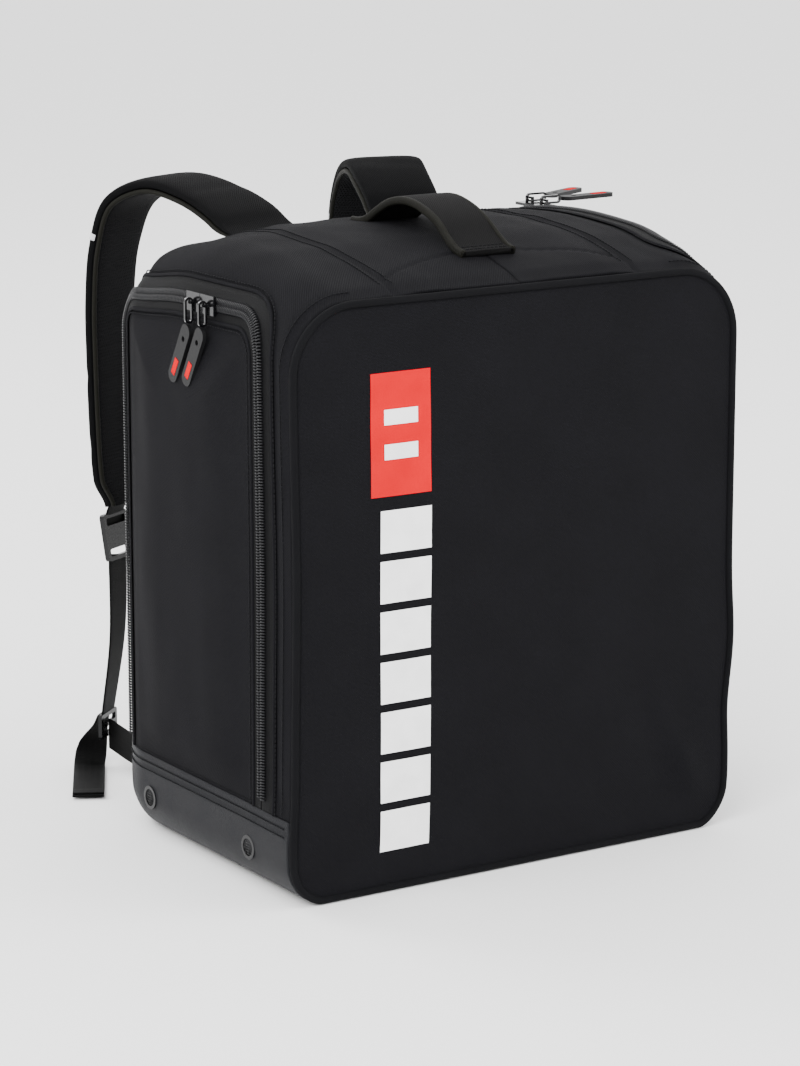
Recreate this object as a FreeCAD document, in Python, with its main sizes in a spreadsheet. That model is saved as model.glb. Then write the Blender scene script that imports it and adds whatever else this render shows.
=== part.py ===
"""Ski boot backpack: a soft box with two side doors, a carry handle and a shoulder harness.

Frame: millimetres, +Z up, the front panel faces -Y, the wearer's back is at +Y.
The origin is the middle of the face that the bag stands on.
"""
import FreeCAD, Part
import math
import os

import Sketcher

doc = FreeCAD.newDocument("ski_boot_bag")
Vector = FreeCAD.Vector

# ---------------------------------------------------------------- driving dimensions

DIMENSIONS = [
    ("bag_width", 384, "width of the front panel outline"),
    ("bag_height", 430, "height of the front panel outline"),
    ("bag_depth", 280, "front face to back face"),
    ("wall", 6, "padded wall thickness"),
    ("front_wall", 8, "padded front panel thickness"),
    ("piping_width", 3, "piping round the front panel, across"),
    ("piping_depth", 10, "piping strip, front to back"),
    ("front_top_radius", 50, "top corners of the front panel"),
    ("front_low_radius", 30, "bottom corners of the front panel"),
    ("base_rise", 62, "height of the base panel up the sides"),
    ("board_length", 322, "base board, left to right"),
    ("board_depth", 226, "base board, front to back"),
    ("board_radius", 24, "base board corners"),
    ("board_thickness", 4, "base board thickness"),
    ("mesh_pad_width", 220, "back mesh pad width"),
    ("mesh_pad_height", 290, "back mesh pad height"),
    ("mesh_pad_radius", 30, "back mesh pad corners"),
    ("mesh_pad_thickness", 6, "back mesh pad thickness"),
    ("door_front", -98, "front edge of both door openings, along Y"),
    ("door_back", 112, "back edge of both door openings, along Y"),
    ("left_door_top", 418, "height of the left zip's top run"),
    ("right_zip_side", 165, "distance of the right zip's top run from the middle"),
    ("door_corner", 30, "corner radius of the left door"),
    ("door_shoulder", 60, "corner radius of the right door, seen from the side"),
    ("zip_half", 5, "width of one zip tape and coil half"),
    ("zip_gap", 1.2, "gap between the two zip halves"),
    ("slider_across", 14, "zip slider, across the zip"),
    ("slider_along", 19, "zip slider, along the zip"),
    ("slider_plate", 2.2, "zip slider plate thickness"),
    ("bridge_width", 1.8, "slider bridge bar, across"),
    ("bridge_thickness", 1.6, "slider bridge bar thickness"),
    ("bridge_rise", 6, "slider base to the middle of its bridge bar"),
    ("link_length", 19, "wire link length"),
    ("link_width", 6.8, "wire link width"),
    ("link_hole", 3.8, "wire link inner width"),
    ("link_thickness", 2, "wire link thickness"),
    ("pull_length", 50, "rubber pull length"),
    ("pull_width", 12, "rubber pull width"),
    ("pull_thickness", 3, "rubber pull thickness"),
    ("pull_radius", 5.8, "rubber pull end radius"),
    ("pull_hole", 4, "square eye in the rubber pull"),
    ("handle_width", 44, "carry handle band, across"),
    ("handle_thickness", 4, "carry handle band thickness"),
    ("handle_binding", 1.5, "binding tape on each edge of the handle"),
    ("handle_foot_length", 18, "sewn foot of the handle"),
    ("handle_foot_thickness", 3, "sewn foot thickness"),
    ("strap_width", 62, "shoulder strap width"),
    ("pad_thickness", 10, "shoulder strap foam and fabric"),
    ("mesh_thickness", 3.6, "shoulder strap mesh lining"),
    ("webbing_width", 25, "harness webbing width"),
    ("webbing_thickness", 1.8, "harness webbing thickness"),
    ("lock_width", 33, "ladder lock width"),
    ("lock_length", 38, "ladder lock length"),
    ("lock_thickness", 4, "ladder lock thickness"),
    ("lock_slot", 6, "ladder lock slot"),
    ("glide_width", 33, "tri-glide width"),
    ("glide_length", 20, "tri-glide length"),
    ("glide_thickness", 3, "tri-glide thickness"),
    ("glide_slot", 5, "tri-glide slot"),
    ("frame_radius", 3, "corner radius of the plastic buckles"),
    ("frame_bar", 3.6, "bar thickness of the plastic buckles"),
    ("vent_radius", 9, "vent eyelet ring radius"),
    ("vent_bore", 6.4, "vent eyelet inner radius"),
    ("vent_rise", 1.8, "vent eyelet thickness"),
    ("grille_thickness", 0.8, "vent grille thickness"),
    ("vent_height", 30, "height of the vent eyelets"),
    ("patch_width", 50, "printed patch width"),
    ("patch_height", 88, "printed patch height"),
    ("print_thickness", 0.4, "printed film thickness"),
    ("print_radius", 2, "printed film corners"),
    ("stripe_width", 42, "printed stripe width"),
    ("stripe_height", 250, "printed stripe height"),
    ("print_left", 62, "bag's left edge to the print's left edge"),
    ("patch_base", 291, "height of the printed patch's lower edge"),
    ("stripe_inset", 8, "patch's left edge to the stripe's left edge"),
    ("stripe_base", 31, "height of the printed stripe's lower edge"),
    ("skin_gap", 0.05, "clearance under a piece that lies on the fabric"),
    ("vent_front", -78, "front vent eyelets, along Y"),
    ("vent_rear", 68, "rear vent eyelets, along Y"),
    ("pad_base", 78, "height of the back mesh pad's lower edge"),
    ("board_forward", 12, "base board's middle, in front of the origin"),
    ("board_lift", 1, "gap under the base board"),
    ("door_foot_gap", 1.5, "gap between a door and the base panel"),
    ("top_seam_front", 100, "top panel's half width at the front"),
    ("top_seam_back", 62, "top panel's half width at the back"),
    ("back_edge", 92, "where the top panel meets the back panel, along Y"),
    ("back_seam", 142, "back panel's half width"),
    ("left_slider_gap", 0.6, "left sliders' clearance from the side"),
    ("right_slider_inset", 2, "right sliders' middle, outside the zip's top run"),
    ("right_slider_rise", 20.6, "right sliders above the front panel's height"),
    ("pull_slack", 1.5, "rubber pull beyond the end of its link"),
    ("foot_front", -98, "handle's front foot, along Y"),
    ("foot_front_rise", 16, "handle's front foot above the front panel's height"),
    ("foot_rear", 34, "handle's rear foot, along Y"),
    ("foot_rear_rise", 23.4, "handle's rear foot above the front panel's height"),
    ("root_side", 67, "strap root's distance from the middle"),
    ("root_back", 107, "strap root, along Y"),
    ("root_rise", 15.5, "strap root above the front panel's height"),
    ("root_depth", 12, "strap root, front to back"),
    ("root_thickness", 4, "strap root thickness"),
    ("harness_gap", 0.3, "gap where webbing meets a buckle"),
    ("lock_drop", 28.5, "ladder lock's middle below the strap's end"),
    ("glide_side", 132, "tri-glide's distance from the middle"),
    ("glide_height", 36, "height of the tri-glide"),
    ("glide_yaw", 40, "tri-glide's turn about Z, in degrees"),
    ("anchor_side", 136, "sewn end of the anchor webbing from the middle"),
    ("anchor_height", 30, "height of the anchor webbing's sewn end"),
    ("anchor_gap", 0.6, "anchor webbing's clearance behind the bag"),
    ("glide_forward", 8, "tri-glide's middle in front of the strap's end"),
    ("roof_reach", 40, "top of the right door's cut above the front panel's height"),
]
sheet = doc.addObject("Spreadsheet::Sheet", "Dimensions")
for row, (alias, value, meaning) in enumerate(DIMENSIONS, start=1):
    sheet.set("A%d" % row, meaning)
    sheet.set("B%d" % row, str(value))
    sheet.setAlias("B%d" % row, alias)
doc.recompute()


def dim(alias):
    """The number in a spreadsheet cell."""
    return float(sheet.get(alias))


half_width = dim("bag_width") / 2
half_depth = dim("bag_depth") / 2
height = dim("bag_height")
base_rise = dim("base_rise")
sub_parts = {}


def keep(label, thing):
    """Name a finished sub-part; its label names its file."""
    thing.Label = label
    sub_parts[label] = thing
    return thing


def turn(x_to, z_to):
    """The rotation that takes local X to x_to and local Z to z_to."""
    x_to = Vector(*x_to)
    z_to = Vector(*z_to)
    y_to = z_to.cross(x_to)
    matrix = FreeCAD.Matrix(x_to.x, y_to.x, z_to.x, 0, x_to.y, y_to.y, z_to.y, 0,
                            x_to.z, y_to.z, z_to.z, 0, 0, 0, 0, 1)
    return FreeCAD.Placement(matrix).Rotation


# ---------------------------------------------------------------- parametric plates

def rounded_sketch(body, name, width, length, top_radius, low_radius, shift=None):
    """A rounded rectangle with one corner at the sketch origin, or moved by shift.

    The four sizes are spreadsheet aliases or expressions in them. shift is a pair of those.
    """
    sketch = body.newObject("Sketcher::SketchObject", name)
    flat = [f for f in body.Origin.OriginFeatures if f.Role == "XY_Plane"][0]
    sketch.AttachmentSupport = (flat, [""])
    sketch.MapMode = "FlatFace"
    x0, y0 = (value(shift[0]), value(shift[1])) if shift else (0.0, 0.0)
    x1, y1 = x0 + value(width), y0 + value(length)
    top, low = value(top_radius), value(low_radius)
    corners = [(x1 - low, y0 + low, low, -90), (x1 - top, y1 - top, top, 0),
               (x0 + top, y1 - top, top, 90), (x0 + low, y0 + low, low, 180)]
    ends = [((x0 + low, y0), (x1 - low, y0)), ((x1, y0 + low), (x1, y1 - top)),
            ((x1 - top, y1), (x0 + top, y1)), ((x0, y1 - top), (x0, y0 + low))]
    for (start, end), (cx, cy, radius, angle) in zip(ends, corners):
        sketch.addGeometry(Part.LineSegment(Vector(*start, 0), Vector(*end, 0)))
        circle = Part.Circle(Vector(cx, cy, 0), Vector(0, 0, 1), radius)
        sketch.addGeometry(Part.ArcOfCircle(circle, math.radians(angle), math.radians(angle + 90)))
    for edge in range(8):
        sketch.addConstraint(Sketcher.Constraint("Tangent", edge, 2, (edge + 1) % 8, 1))
    for edge in (0, 4):
        sketch.addConstraint(Sketcher.Constraint("Horizontal", edge))
    for edge in (2, 6):
        sketch.addConstraint(Sketcher.Constraint("Vertical", edge))
    for edge, size in ((1, low_radius), (3, top_radius), (5, top_radius), (7, low_radius)):
        bind(sketch, Sketcher.Constraint("Radius", edge, value(size)), size)
    bind(sketch, Sketcher.Constraint("DistanceX", 6, 1, 2, 1, value(width)), width)
    bind(sketch, Sketcher.Constraint("DistanceY", 0, 1, 4, 1, value(length)), length)
    if shift:
        bind(sketch, Sketcher.Constraint("DistanceX", -1, 1, 6, 1, x0), shift[0])
        bind(sketch, Sketcher.Constraint("DistanceY", -1, 1, 0, 1, y0), shift[1])
    else:
        sketch.addConstraint(Sketcher.Constraint("PointOnObject", 6, 1, -2))
        sketch.addConstraint(Sketcher.Constraint("PointOnObject", 0, 1, -1))
    return sketch


def expression(size):
    """A size written with bare aliases, as an expression on the sheet."""
    words = size.split(" ")
    return " ".join("Dimensions." + w if w.isidentifier() else w for w in words)


def value(size):
    """The number that a size stands for."""
    return float(sheet.evalExpression(expression(size)))


def bind(sketch, constraint, size):
    """Add a constraint and tie its size to the sheet."""
    number = sketch.addConstraint(constraint)
    sketch.setExpression("Constraints[%d]" % number, expression(size))


def plate(label, width, length, thickness, top_radius, low_radius, place, holes=()):
    """A PartDesign plate with rounded corners and rounded holes through it.

    Each hole is (x, y, width, length, top radius, low radius), from the plate's corner.
    """
    body = doc.addObject("PartDesign::Body", label + "_body")
    outline = rounded_sketch(body, label + "_outline", width, length, top_radius, low_radius)
    pad = body.newObject("PartDesign::Pad", label + "_pad")
    pad.Profile = outline
    pad.setExpression("Length", expression(thickness))
    doc.recompute()
    for index, (x, y, hole_width, hole_length, top, low) in enumerate(holes):
        before = body.Shape.Volume
        hole = rounded_sketch(body, "%s_hole_%d" % (label, index), hole_width, hole_length,
                              top, low, (x, y))
        pocket = body.newObject("PartDesign::Pocket", "%s_cut_%d" % (label, index))
        pocket.Profile = hole
        pocket.Type = 1
        pocket.Reversed = True
        doc.recompute()
        if body.Shape.Volume > before - 0.01:
            raise RuntimeError(label + ": a hole cut nothing")
    body.Placement = place
    return keep(label, body)


def box(name, sizes, corner):
    """A Part box with its three sizes tied to the sheet."""
    block = doc.addObject("Part::Box", name)
    for side, size in zip(("Length", "Width", "Height"), sizes):
        block.setExpression(side, expression(size))
    block.Placement.Base = Vector(*corner)
    return block


def computed(label, shape):
    """A sub-part whose lofted or bent shape is worked out from the sheet's sizes."""
    feature = doc.addObject("Part::Feature", label + "_shape")
    feature.Shape = shape
    return keep(label, feature)


# ---------------------------------------------------------------- lofted body

# y, side inset, top height, bottom height, top corner radius on the left and on the right
STATIONS = [
    (-half_depth, 0, height, 0, 50, 50),
    (-95, 0, height + 11, 0, 48, 38),
    (-40, 0, height + 20, 0, 50, 30),
    (20, 0, height + 23, 0, 50, 30),
    (80, 0, height + 19, 0, 50, 30),
    (108, 7, height + 7, 1, 50, 34),
    (128, 24, height - 18, 6, 50, 40),
    (half_depth, 52, height - 56, 18, 50, 50),
]


def section(y, inset, top, bottom, left_radius, right_radius, shrink):
    """One closed cross-section of the bag, drawn in by shrink all round."""
    low = dim("front_low_radius") - shrink
    left = left_radius - shrink
    right = right_radius - shrink
    x0 = -half_width + inset + shrink
    x1 = half_width - inset - shrink
    z0 = bottom + shrink
    z1 = top - shrink
    lean = math.sqrt(0.5)
    arcs = [(x1 - low, z0 + low, low, 1, -1), (x1 - right, z1 - right, right, 1, 1),
            (x0 + left, z1 - left, left, -1, 1), (x0 + low, z0 + low, low, -1, -1)]
    edges = []
    for cx, cz, radius, side, up in arcs:
        beside = Vector(cx + side * radius, y, cz)
        middle = Vector(cx + side * radius * lean, y, cz + up * radius * lean)
        level = Vector(cx, y, cz + up * radius)
        first, last = (level, beside) if side * up < 0 else (beside, level)
        edges.append(Part.Arc(first, middle, last).toShape())
    wire = []
    for index, edge in enumerate(edges):
        following = edges[(index + 1) % 4]
        wire.append(edge)
        wire.append(Part.makeLine(edge.Curve.value(edge.LastParameter),
                                  following.Curve.value(following.FirstParameter)))
    return Part.Wire(wire)


def bag_solid(shrink, front):
    """The bag's rounded solid, drawn in by shrink; its front face is at y = front."""
    wires = []
    for y, inset, top, bottom, left_radius, right_radius in STATIONS:
        if y == -half_depth:
            y = front
        if y == half_depth:
            y = half_depth - shrink
        wires.append(section(y, inset, top, bottom, left_radius, right_radius, shrink))
    return Part.makeLoft(wires, True, True)


def slab(x0, x1, y0, y1, z0, z1):
    """A plain cutting block."""
    return Part.makeBox(x1 - x0, y1 - y0, z1 - z0, Vector(x0, y0, z0))


FAR = 600
sleeve_front = -half_depth + dim("front_wall") + 2
outer = bag_solid(0, -half_depth)
inner = bag_solid(dim("wall"), sleeve_front - 1)
sleeve = outer.cut(inner).common(slab(-FAR, FAR, sleeve_front, FAR, -FAR, FAR))


def door_outline(grow, top, corner):
    """The door's outline seen from the side, grown by grow, as a long prism along X."""
    y0 = dim("door_front") - grow
    y1 = dim("door_back") + grow
    z0 = base_rise - 1 if grow > 0 else base_rise + dim("door_foot_gap")
    z1 = top + grow
    radius = corner + grow
    lean = radius * (1 - math.sqrt(0.5))
    points = [Vector(0, y0, z0), Vector(0, y0, z1 - radius), Vector(0, y0 + lean, z1 - lean),
              Vector(0, y0 + radius, z1), Vector(0, y1 - radius, z1),
              Vector(0, y1 - lean, z1 - lean), Vector(0, y1, z1 - radius), Vector(0, y1, z0)]
    edges = [Part.makeLine(points[0], points[1]),
             Part.Arc(points[1], points[2], points[3]).toShape(),
             Part.makeLine(points[3], points[4]),
             Part.Arc(points[4], points[5], points[6]).toShape(),
             Part.makeLine(points[6], points[7]), Part.makeLine(points[7], points[0])]
    return Part.Face(Part.Wire(edges)).extrude(Vector(FAR, 0, 0))


def door_region(side, grow):
    """The space that a door takes through the wall; side is -1 on the left, 1 on the right."""
    if side < 0:
        prism = door_outline(grow, dim("left_door_top"), dim("door_corner"))
        prism.translate(Vector(-FAR - 100, 0, 0))
        return prism
    prism = door_outline(grow, height + dim("roof_reach"), dim("door_shoulder"))
    edge = dim("right_zip_side") - grow
    return prism.common(slab(edge, FAR, -FAR, FAR, -FAR, FAR))


def seam_region(side):
    """Plan area of one gusset: from its seam on the top to its seam on the back."""
    front, back, edge = dim("top_seam_front"), dim("top_seam_back"), dim("back_edge")
    points = [(front, -FAR), (front, sleeve_front), (back, edge), (dim("back_seam"), edge),
              (dim("back_seam"), FAR), (FAR, FAR), (FAR, -FAR), (front, -FAR)]
    wire = Part.makePolygon([Vector(side * x, y, base_rise) for x, y in points])
    return Part.Face(wire).extrude(Vector(0, 0, FAR))


half_gap = dim("zip_gap") / 2
half_zip = dim("zip_half")
for side, name in ((-1, "left"), (1, "right")):
    wall_part = sleeve.common(seam_region(side))
    opening_edge = door_region(side, half_gap)
    frame_edge = door_region(side, half_gap + half_zip)
    door_edge = door_region(side, -half_gap)
    panel_edge = door_region(side, -half_gap - half_zip)
    computed(name + "_gusset", wall_part.cut(frame_edge))
    computed(name + "_zip_frame_half", wall_part.common(frame_edge).cut(opening_edge))
    computed(name + "_zip_door_half", wall_part.common(door_edge).cut(panel_edge))
    computed(name + "_door", wall_part.common(panel_edge))

middle = sleeve.common(slab(-FAR, FAR, -FAR, FAR, base_rise, FAR))
for side in (-1, 1):
    middle = middle.cut(seam_region(side))
computed("top_panel", middle.common(slab(-FAR, FAR, -FAR, dim("back_edge"), base_rise, FAR)))
computed("back_panel", middle.common(slab(-FAR, FAR, dim("back_edge"), FAR, base_rise, FAR)))
computed("base_panel", sleeve.common(slab(-FAR, FAR, -FAR, FAR, -FAR, base_rise)))

# ---------------------------------------------------------------- front, base board, back pad

facing_front = turn((1, 0, 0), (0, -1, 0))
facing_back = turn((-1, 0, 0), (0, 1, 0))
margin = dim("piping_width")

plate("front_panel", "bag_width - piping_width * 2", "bag_height - piping_width * 2",
      "front_wall", "front_top_radius - piping_width", "front_low_radius - piping_width",
      FreeCAD.Placement(Vector(-half_width + margin, -half_depth + dim("front_wall"), margin),
                        facing_front))
plate("front_piping", "bag_width", "bag_height", "piping_depth + 2",
      "front_top_radius", "front_low_radius",
      FreeCAD.Placement(Vector(-half_width, sleeve_front, 0), facing_front),
      [("piping_width", "piping_width", "bag_width - piping_width * 2",
        "bag_height - piping_width * 2", "front_top_radius - piping_width",
        "front_low_radius - piping_width")])

plate("base_board", "board_length", "board_depth", "board_thickness", "board_radius",
      "board_radius",
      FreeCAD.Placement(Vector(-dim("board_length") / 2,
                               -dim("board_depth") / 2 - dim("board_forward"),
                               dim("wall") + dim("board_lift")), FreeCAD.Rotation()))
plate("back_mesh_pad", "mesh_pad_width", "mesh_pad_height", "mesh_pad_thickness",
      "mesh_pad_radius", "mesh_pad_radius",
      FreeCAD.Placement(Vector(dim("mesh_pad_width") / 2, half_depth, dim("pad_base")), facing_back))

# ---------------------------------------------------------------- printed film on the front

print_left = -half_width + dim("print_left")
print_front = -half_depth - dim("skin_gap")
plate("front_patch", "patch_width", "patch_height", "print_thickness", "print_radius",
      "print_radius",
      FreeCAD.Placement(Vector(print_left, print_front, dim("patch_base")), facing_front))
plate("front_stripe", "stripe_width", "stripe_height", "print_thickness", "print_radius",
      "print_radius",
      FreeCAD.Placement(Vector(print_left + dim("stripe_inset"), print_front,
                               dim("stripe_base")), facing_front))

# ---------------------------------------------------------------- vent eyelets

for side, name in ((-1, "left"), (1, "right")):
    rings = []
    grilles = []
    for index, along in enumerate((dim("vent_front"), dim("vent_rear"))):
        label = "%s_vent_%d" % (name, index)
        rim = doc.addObject("Part::Cylinder", label + "_rim")
        rim.setExpression("Radius", expression("vent_radius"))
        rim.setExpression("Height", expression("vent_rise"))
        bore = doc.addObject("Part::Cylinder", label + "_bore")
        bore.setExpression("Radius", expression("vent_bore"))
        bore.setExpression("Height", expression("vent_rise"))
        ring = doc.addObject("Part::Cut", label + "_ring")
        ring.Base = rim
        ring.Tool = bore
        grille = doc.addObject("Part::Cylinder", label + "_grille")
        grille.setExpression("Radius", expression("vent_bore"))
        grille.setExpression("Height", expression("grille_thickness"))
        place = FreeCAD.Placement(Vector(side * (half_width + dim("skin_gap")), along,
                                         dim("vent_height")),
                                  turn((0, 1, 0), (side, 0, 0)))
        ring.Placement = place
        grille.Placement = place
        rings.append(ring)
        grilles.append(grille)
    for label, group in (("_vent_rings", rings), ("_vent_grilles", grilles)):
        pair = doc.addObject("Part::Compound", name + label + "_pair")
        pair.Links = group
        keep(name + label, pair)

# ---------------------------------------------------------------- zip sliders, links and pulls

# side, front or rear, place along Y, lean of the pull towards the back in degrees
SLIDERS = [("left", "front", -29.8, 30), ("left", "rear", -10.2, 30),
           ("right", "front", 72.2, 4), ("right", "rear", 91.8, 26)]


def slider_place(side, along):
    """Origin on the zip, X the way the pull points, Y along the zip, Z out of the bag."""
    if side == "left":
        return FreeCAD.Placement(Vector(-half_width - dim("left_slider_gap"), along,
                                        dim("left_door_top")),
                                 turn((0, 0, -1), (-1, 0, 0)))
    return FreeCAD.Placement(Vector(dim("right_zip_side") + dim("right_slider_inset"), along,
                                    height + dim("right_slider_rise")),
                             turn((1, 0, 0), (0, 0, 1)))


for side, end, along, lean in SLIDERS:
    label = "%s_%s" % (side, end)
    place = slider_place(side, along)
    across = dim("slider_across")
    length = dim("slider_along")
    rise = dim("bridge_rise")
    bar = dim("bridge_width")
    base = box(label + "_slider_plate", ("slider_across", "slider_along", "slider_plate"),
               (-across / 2, -length / 2, 0))
    bridge = box(label + "_slider_bar", ("bridge_width", "slider_along / 2", "bridge_thickness"),
                 (-bar / 2, -length / 4, rise - dim("bridge_thickness") / 2))
    legs = [box(label + "_slider_leg_%d" % index, ("bridge_width", "bridge_width", "bridge_rise"),
                (-bar / 2, at, 0)) for index, at in enumerate((-length / 4, length / 4 - bar))]
    slider = doc.addObject("Part::MultiFuse", label + "_slider_fuse")
    slider.Shapes = [base, bridge] + legs
    slider.Placement = place
    keep(label + "_slider", slider)

    edge_on = FreeCAD.Placement(Vector(-dim("link_width") / 2, dim("link_thickness") / 2,
                                       rise - dim("link_width") / 2), turn((1, 0, 0), (0, -1, 0)))
    inset = "link_width / 2 - link_hole / 2"
    plate(label + "_link", "link_length", "link_width", "link_thickness", "link_width / 2.06",
          "link_width / 2.06", place.multiply(edge_on),
          [(inset, inset, "link_length - link_width + link_hole", "link_hole",
            "link_hole / 2.06", "link_hole / 2.06")])

    swing = lean if side == "right" else -lean
    hang = FreeCAD.Placement(Vector(dim("link_length") - dim("link_width") / 2 + dim("pull_slack"),
                                    0, 0),
                             FreeCAD.Rotation(Vector(0, 0, 1), swing))
    centred = FreeCAD.Placement(Vector(0, -dim("pull_width") / 2, rise - dim("pull_thickness") / 2),
                                FreeCAD.Rotation())
    plate(label + "_pull", "pull_length", "pull_width", "pull_thickness", "pull_radius",
          "pull_radius", place.multiply(hang).multiply(centred),
          [("pull_hole * 2.5", "pull_width / 2 - pull_hole / 2", "pull_hole", "pull_hole",
            "pull_hole / 2.1", "pull_hole / 2.1")])

# ---------------------------------------------------------------- carry handle

HANDLE_FRONT = (-86, height + 20)
HANDLE_TOP = (-20, height + 51)
HANDLE_REAR = (44, height + 27.5)


def handle_band(x0, x1):
    """The arched band between two X positions."""
    thickness = dim("handle_thickness")
    (y0, z0), (ym, zm), (y1, z1) = HANDLE_FRONT, HANDLE_TOP, HANDLE_REAR
    outer_arc = Part.Arc(Vector(x0, y0, z0), Vector(x0, ym, zm), Vector(x0, y1, z1)).toShape()
    low_start = Vector(x0, y0 + thickness, z0)
    low_end = Vector(x0, y1 - thickness, z1)
    inner_arc = Part.Arc(low_start, Vector(x0, ym, zm - thickness), low_end).toShape()
    wire = Part.Wire([outer_arc, Part.makeLine(Vector(x0, y1, z1), low_end), inner_arc,
                      Part.makeLine(low_start, Vector(x0, y0, z0))])
    return Part.Face(wire).extrude(Vector(x1 - x0, 0, 0))


half_handle = dim("handle_width") / 2
binding = dim("handle_binding")
computed("carry_handle", handle_band(-half_handle, half_handle))
computed("handle_bindings", Part.makeCompound([handle_band(-half_handle - binding, -half_handle),
                                               handle_band(half_handle, half_handle + binding)]))
foot_sizes = ("handle_width", "handle_foot_length", "handle_foot_thickness")
keep("handle_front_foot", box("handle_front_foot_block", foot_sizes,
                              (-half_handle, dim("foot_front"), height + dim("foot_front_rise"))))
keep("handle_rear_foot", box("handle_rear_foot_block", foot_sizes,
                             (-half_handle, dim("foot_rear"), height + dim("foot_rear_rise"))))

# ---------------------------------------------------------------- shoulder harness

# centre line of each strap from the top of the back downwards: x, y, z and the strap's yaw
LEFT_STRAP = [(-68, 120, 446, 4), (-70, 138, 456, 6), (-78, 174, 468, 14), (-91, 216, 472, 20),
              (-106, 248, 456, 26), (-112, 262, 422, 30), (-114, 268, 380, 32),
              (-114, 268, 330, 32), (-114, 266, 285, 32), (-113, 262, 245, 30),
              (-110, 258, 214, 28)]
RIGHT_STRAP = [(68, 118, 448, -4), (70, 130, 460, -6), (74, 148, 471, -8), (82, 172, 479, -12),
               (94, 204, 470, -18), (102, 228, 440, -22), (108, 240, 400, -24),
               (110, 244, 350, -24), (110, 242, 295, -24), (107, 238, 250, -22),
               (103, 234, 216, -20)]

# steps in the harness: away from the bag's middle, towards the back, up
LOCK_STEP = (3, 8)
WEBBING_BOW = (-2, -4, 0)
ANCHOR_END_STEP = (1, -6, -12)
ANCHOR_SAG = (5, 0, -2)

# each loose tail from its tri-glide to the floor: steps away and back from the tri-glide's
# middle, height, and the webbing's yaw
TAIL = [(2.1, 2.5, 45, 40), (3.9, 4.6, 36, 32), (6.4, 7.7, 27, 15), (8.4, 10, 18, -5),
        (10, 10.5, 10, -20), (13.5, 6.5, 4.2, -28), (20, -5, 2.4, -29), (32, -27, 2.4, -29),
        (45, -51, 2.4, -29), (57, -73, 2.4, -29)]


def step(side, away, back, up):
    """A move away from the bag's middle, towards the back and up."""
    return Vector(side * away, back, up)


def frames(points):
    """Centre, width direction and outward direction at each point of a strap's line."""
    found = []
    for index, (x, y, z, yaw) in enumerate(points):
        before = Vector(*points[max(index - 1, 0)][:3])
        after = Vector(*points[min(index + 1, len(points) - 1)][:3])
        angle = math.radians(yaw)
        across = Vector(math.cos(angle), math.sin(angle), 0)
        outward = across.cross(after - before)
        outward.normalize()
        found.append((Vector(x, y, z), across, outward))
    return found


def ribbon(places, width, low, high):
    """A flat strip through the given frames, from low to high along their outward side."""
    wires = []
    for centre, across, outward in places:
        side = across * (width / 2)
        corners = [centre - side + outward * low, centre + side + outward * low,
                   centre + side + outward * high, centre - side + outward * high]
        wires.append(Part.makePolygon(corners + corners[:1]))
    return Part.makeLoft(wires, True, True)


def partway(places, start, share):
    """The frame a share of the way from one place to the next."""
    first, second = places[start], places[start + 1]
    return tuple(a + (b - a) * share for a, b in zip(first, second))


strap_width = dim("strap_width")
mesh_low = -(dim("pad_thickness") + dim("mesh_thickness")) / 2
mesh_high = mesh_low + dim("mesh_thickness")
pad_high = mesh_high + dim("pad_thickness")
webbing = dim("webbing_width")
tape = dim("webbing_thickness")
gap = dim("harness_gap")


def buckle(label, size, bars, centre, across, outward):
    """A flat plastic frame with two slots; Y runs down the strap."""
    width, length, thickness, slot = size
    x, y, z = (value(length_name) for length_name in (width, length, thickness))
    down = outward.cross(across)
    corner = centre - across * (x / 2) - down * (y / 2) - outward * (z / 2)
    place = FreeCAD.Placement(corner, turn(tuple(across), tuple(outward)))
    slot_width = width + " - frame_bar * 2"
    holes = [("frame_bar", bar, slot_width, slot, "frame_radius / 2", "frame_radius / 2")
             for bar in bars]
    plate(label, width, length, thickness, "frame_radius", "frame_radius", place, holes)


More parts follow.
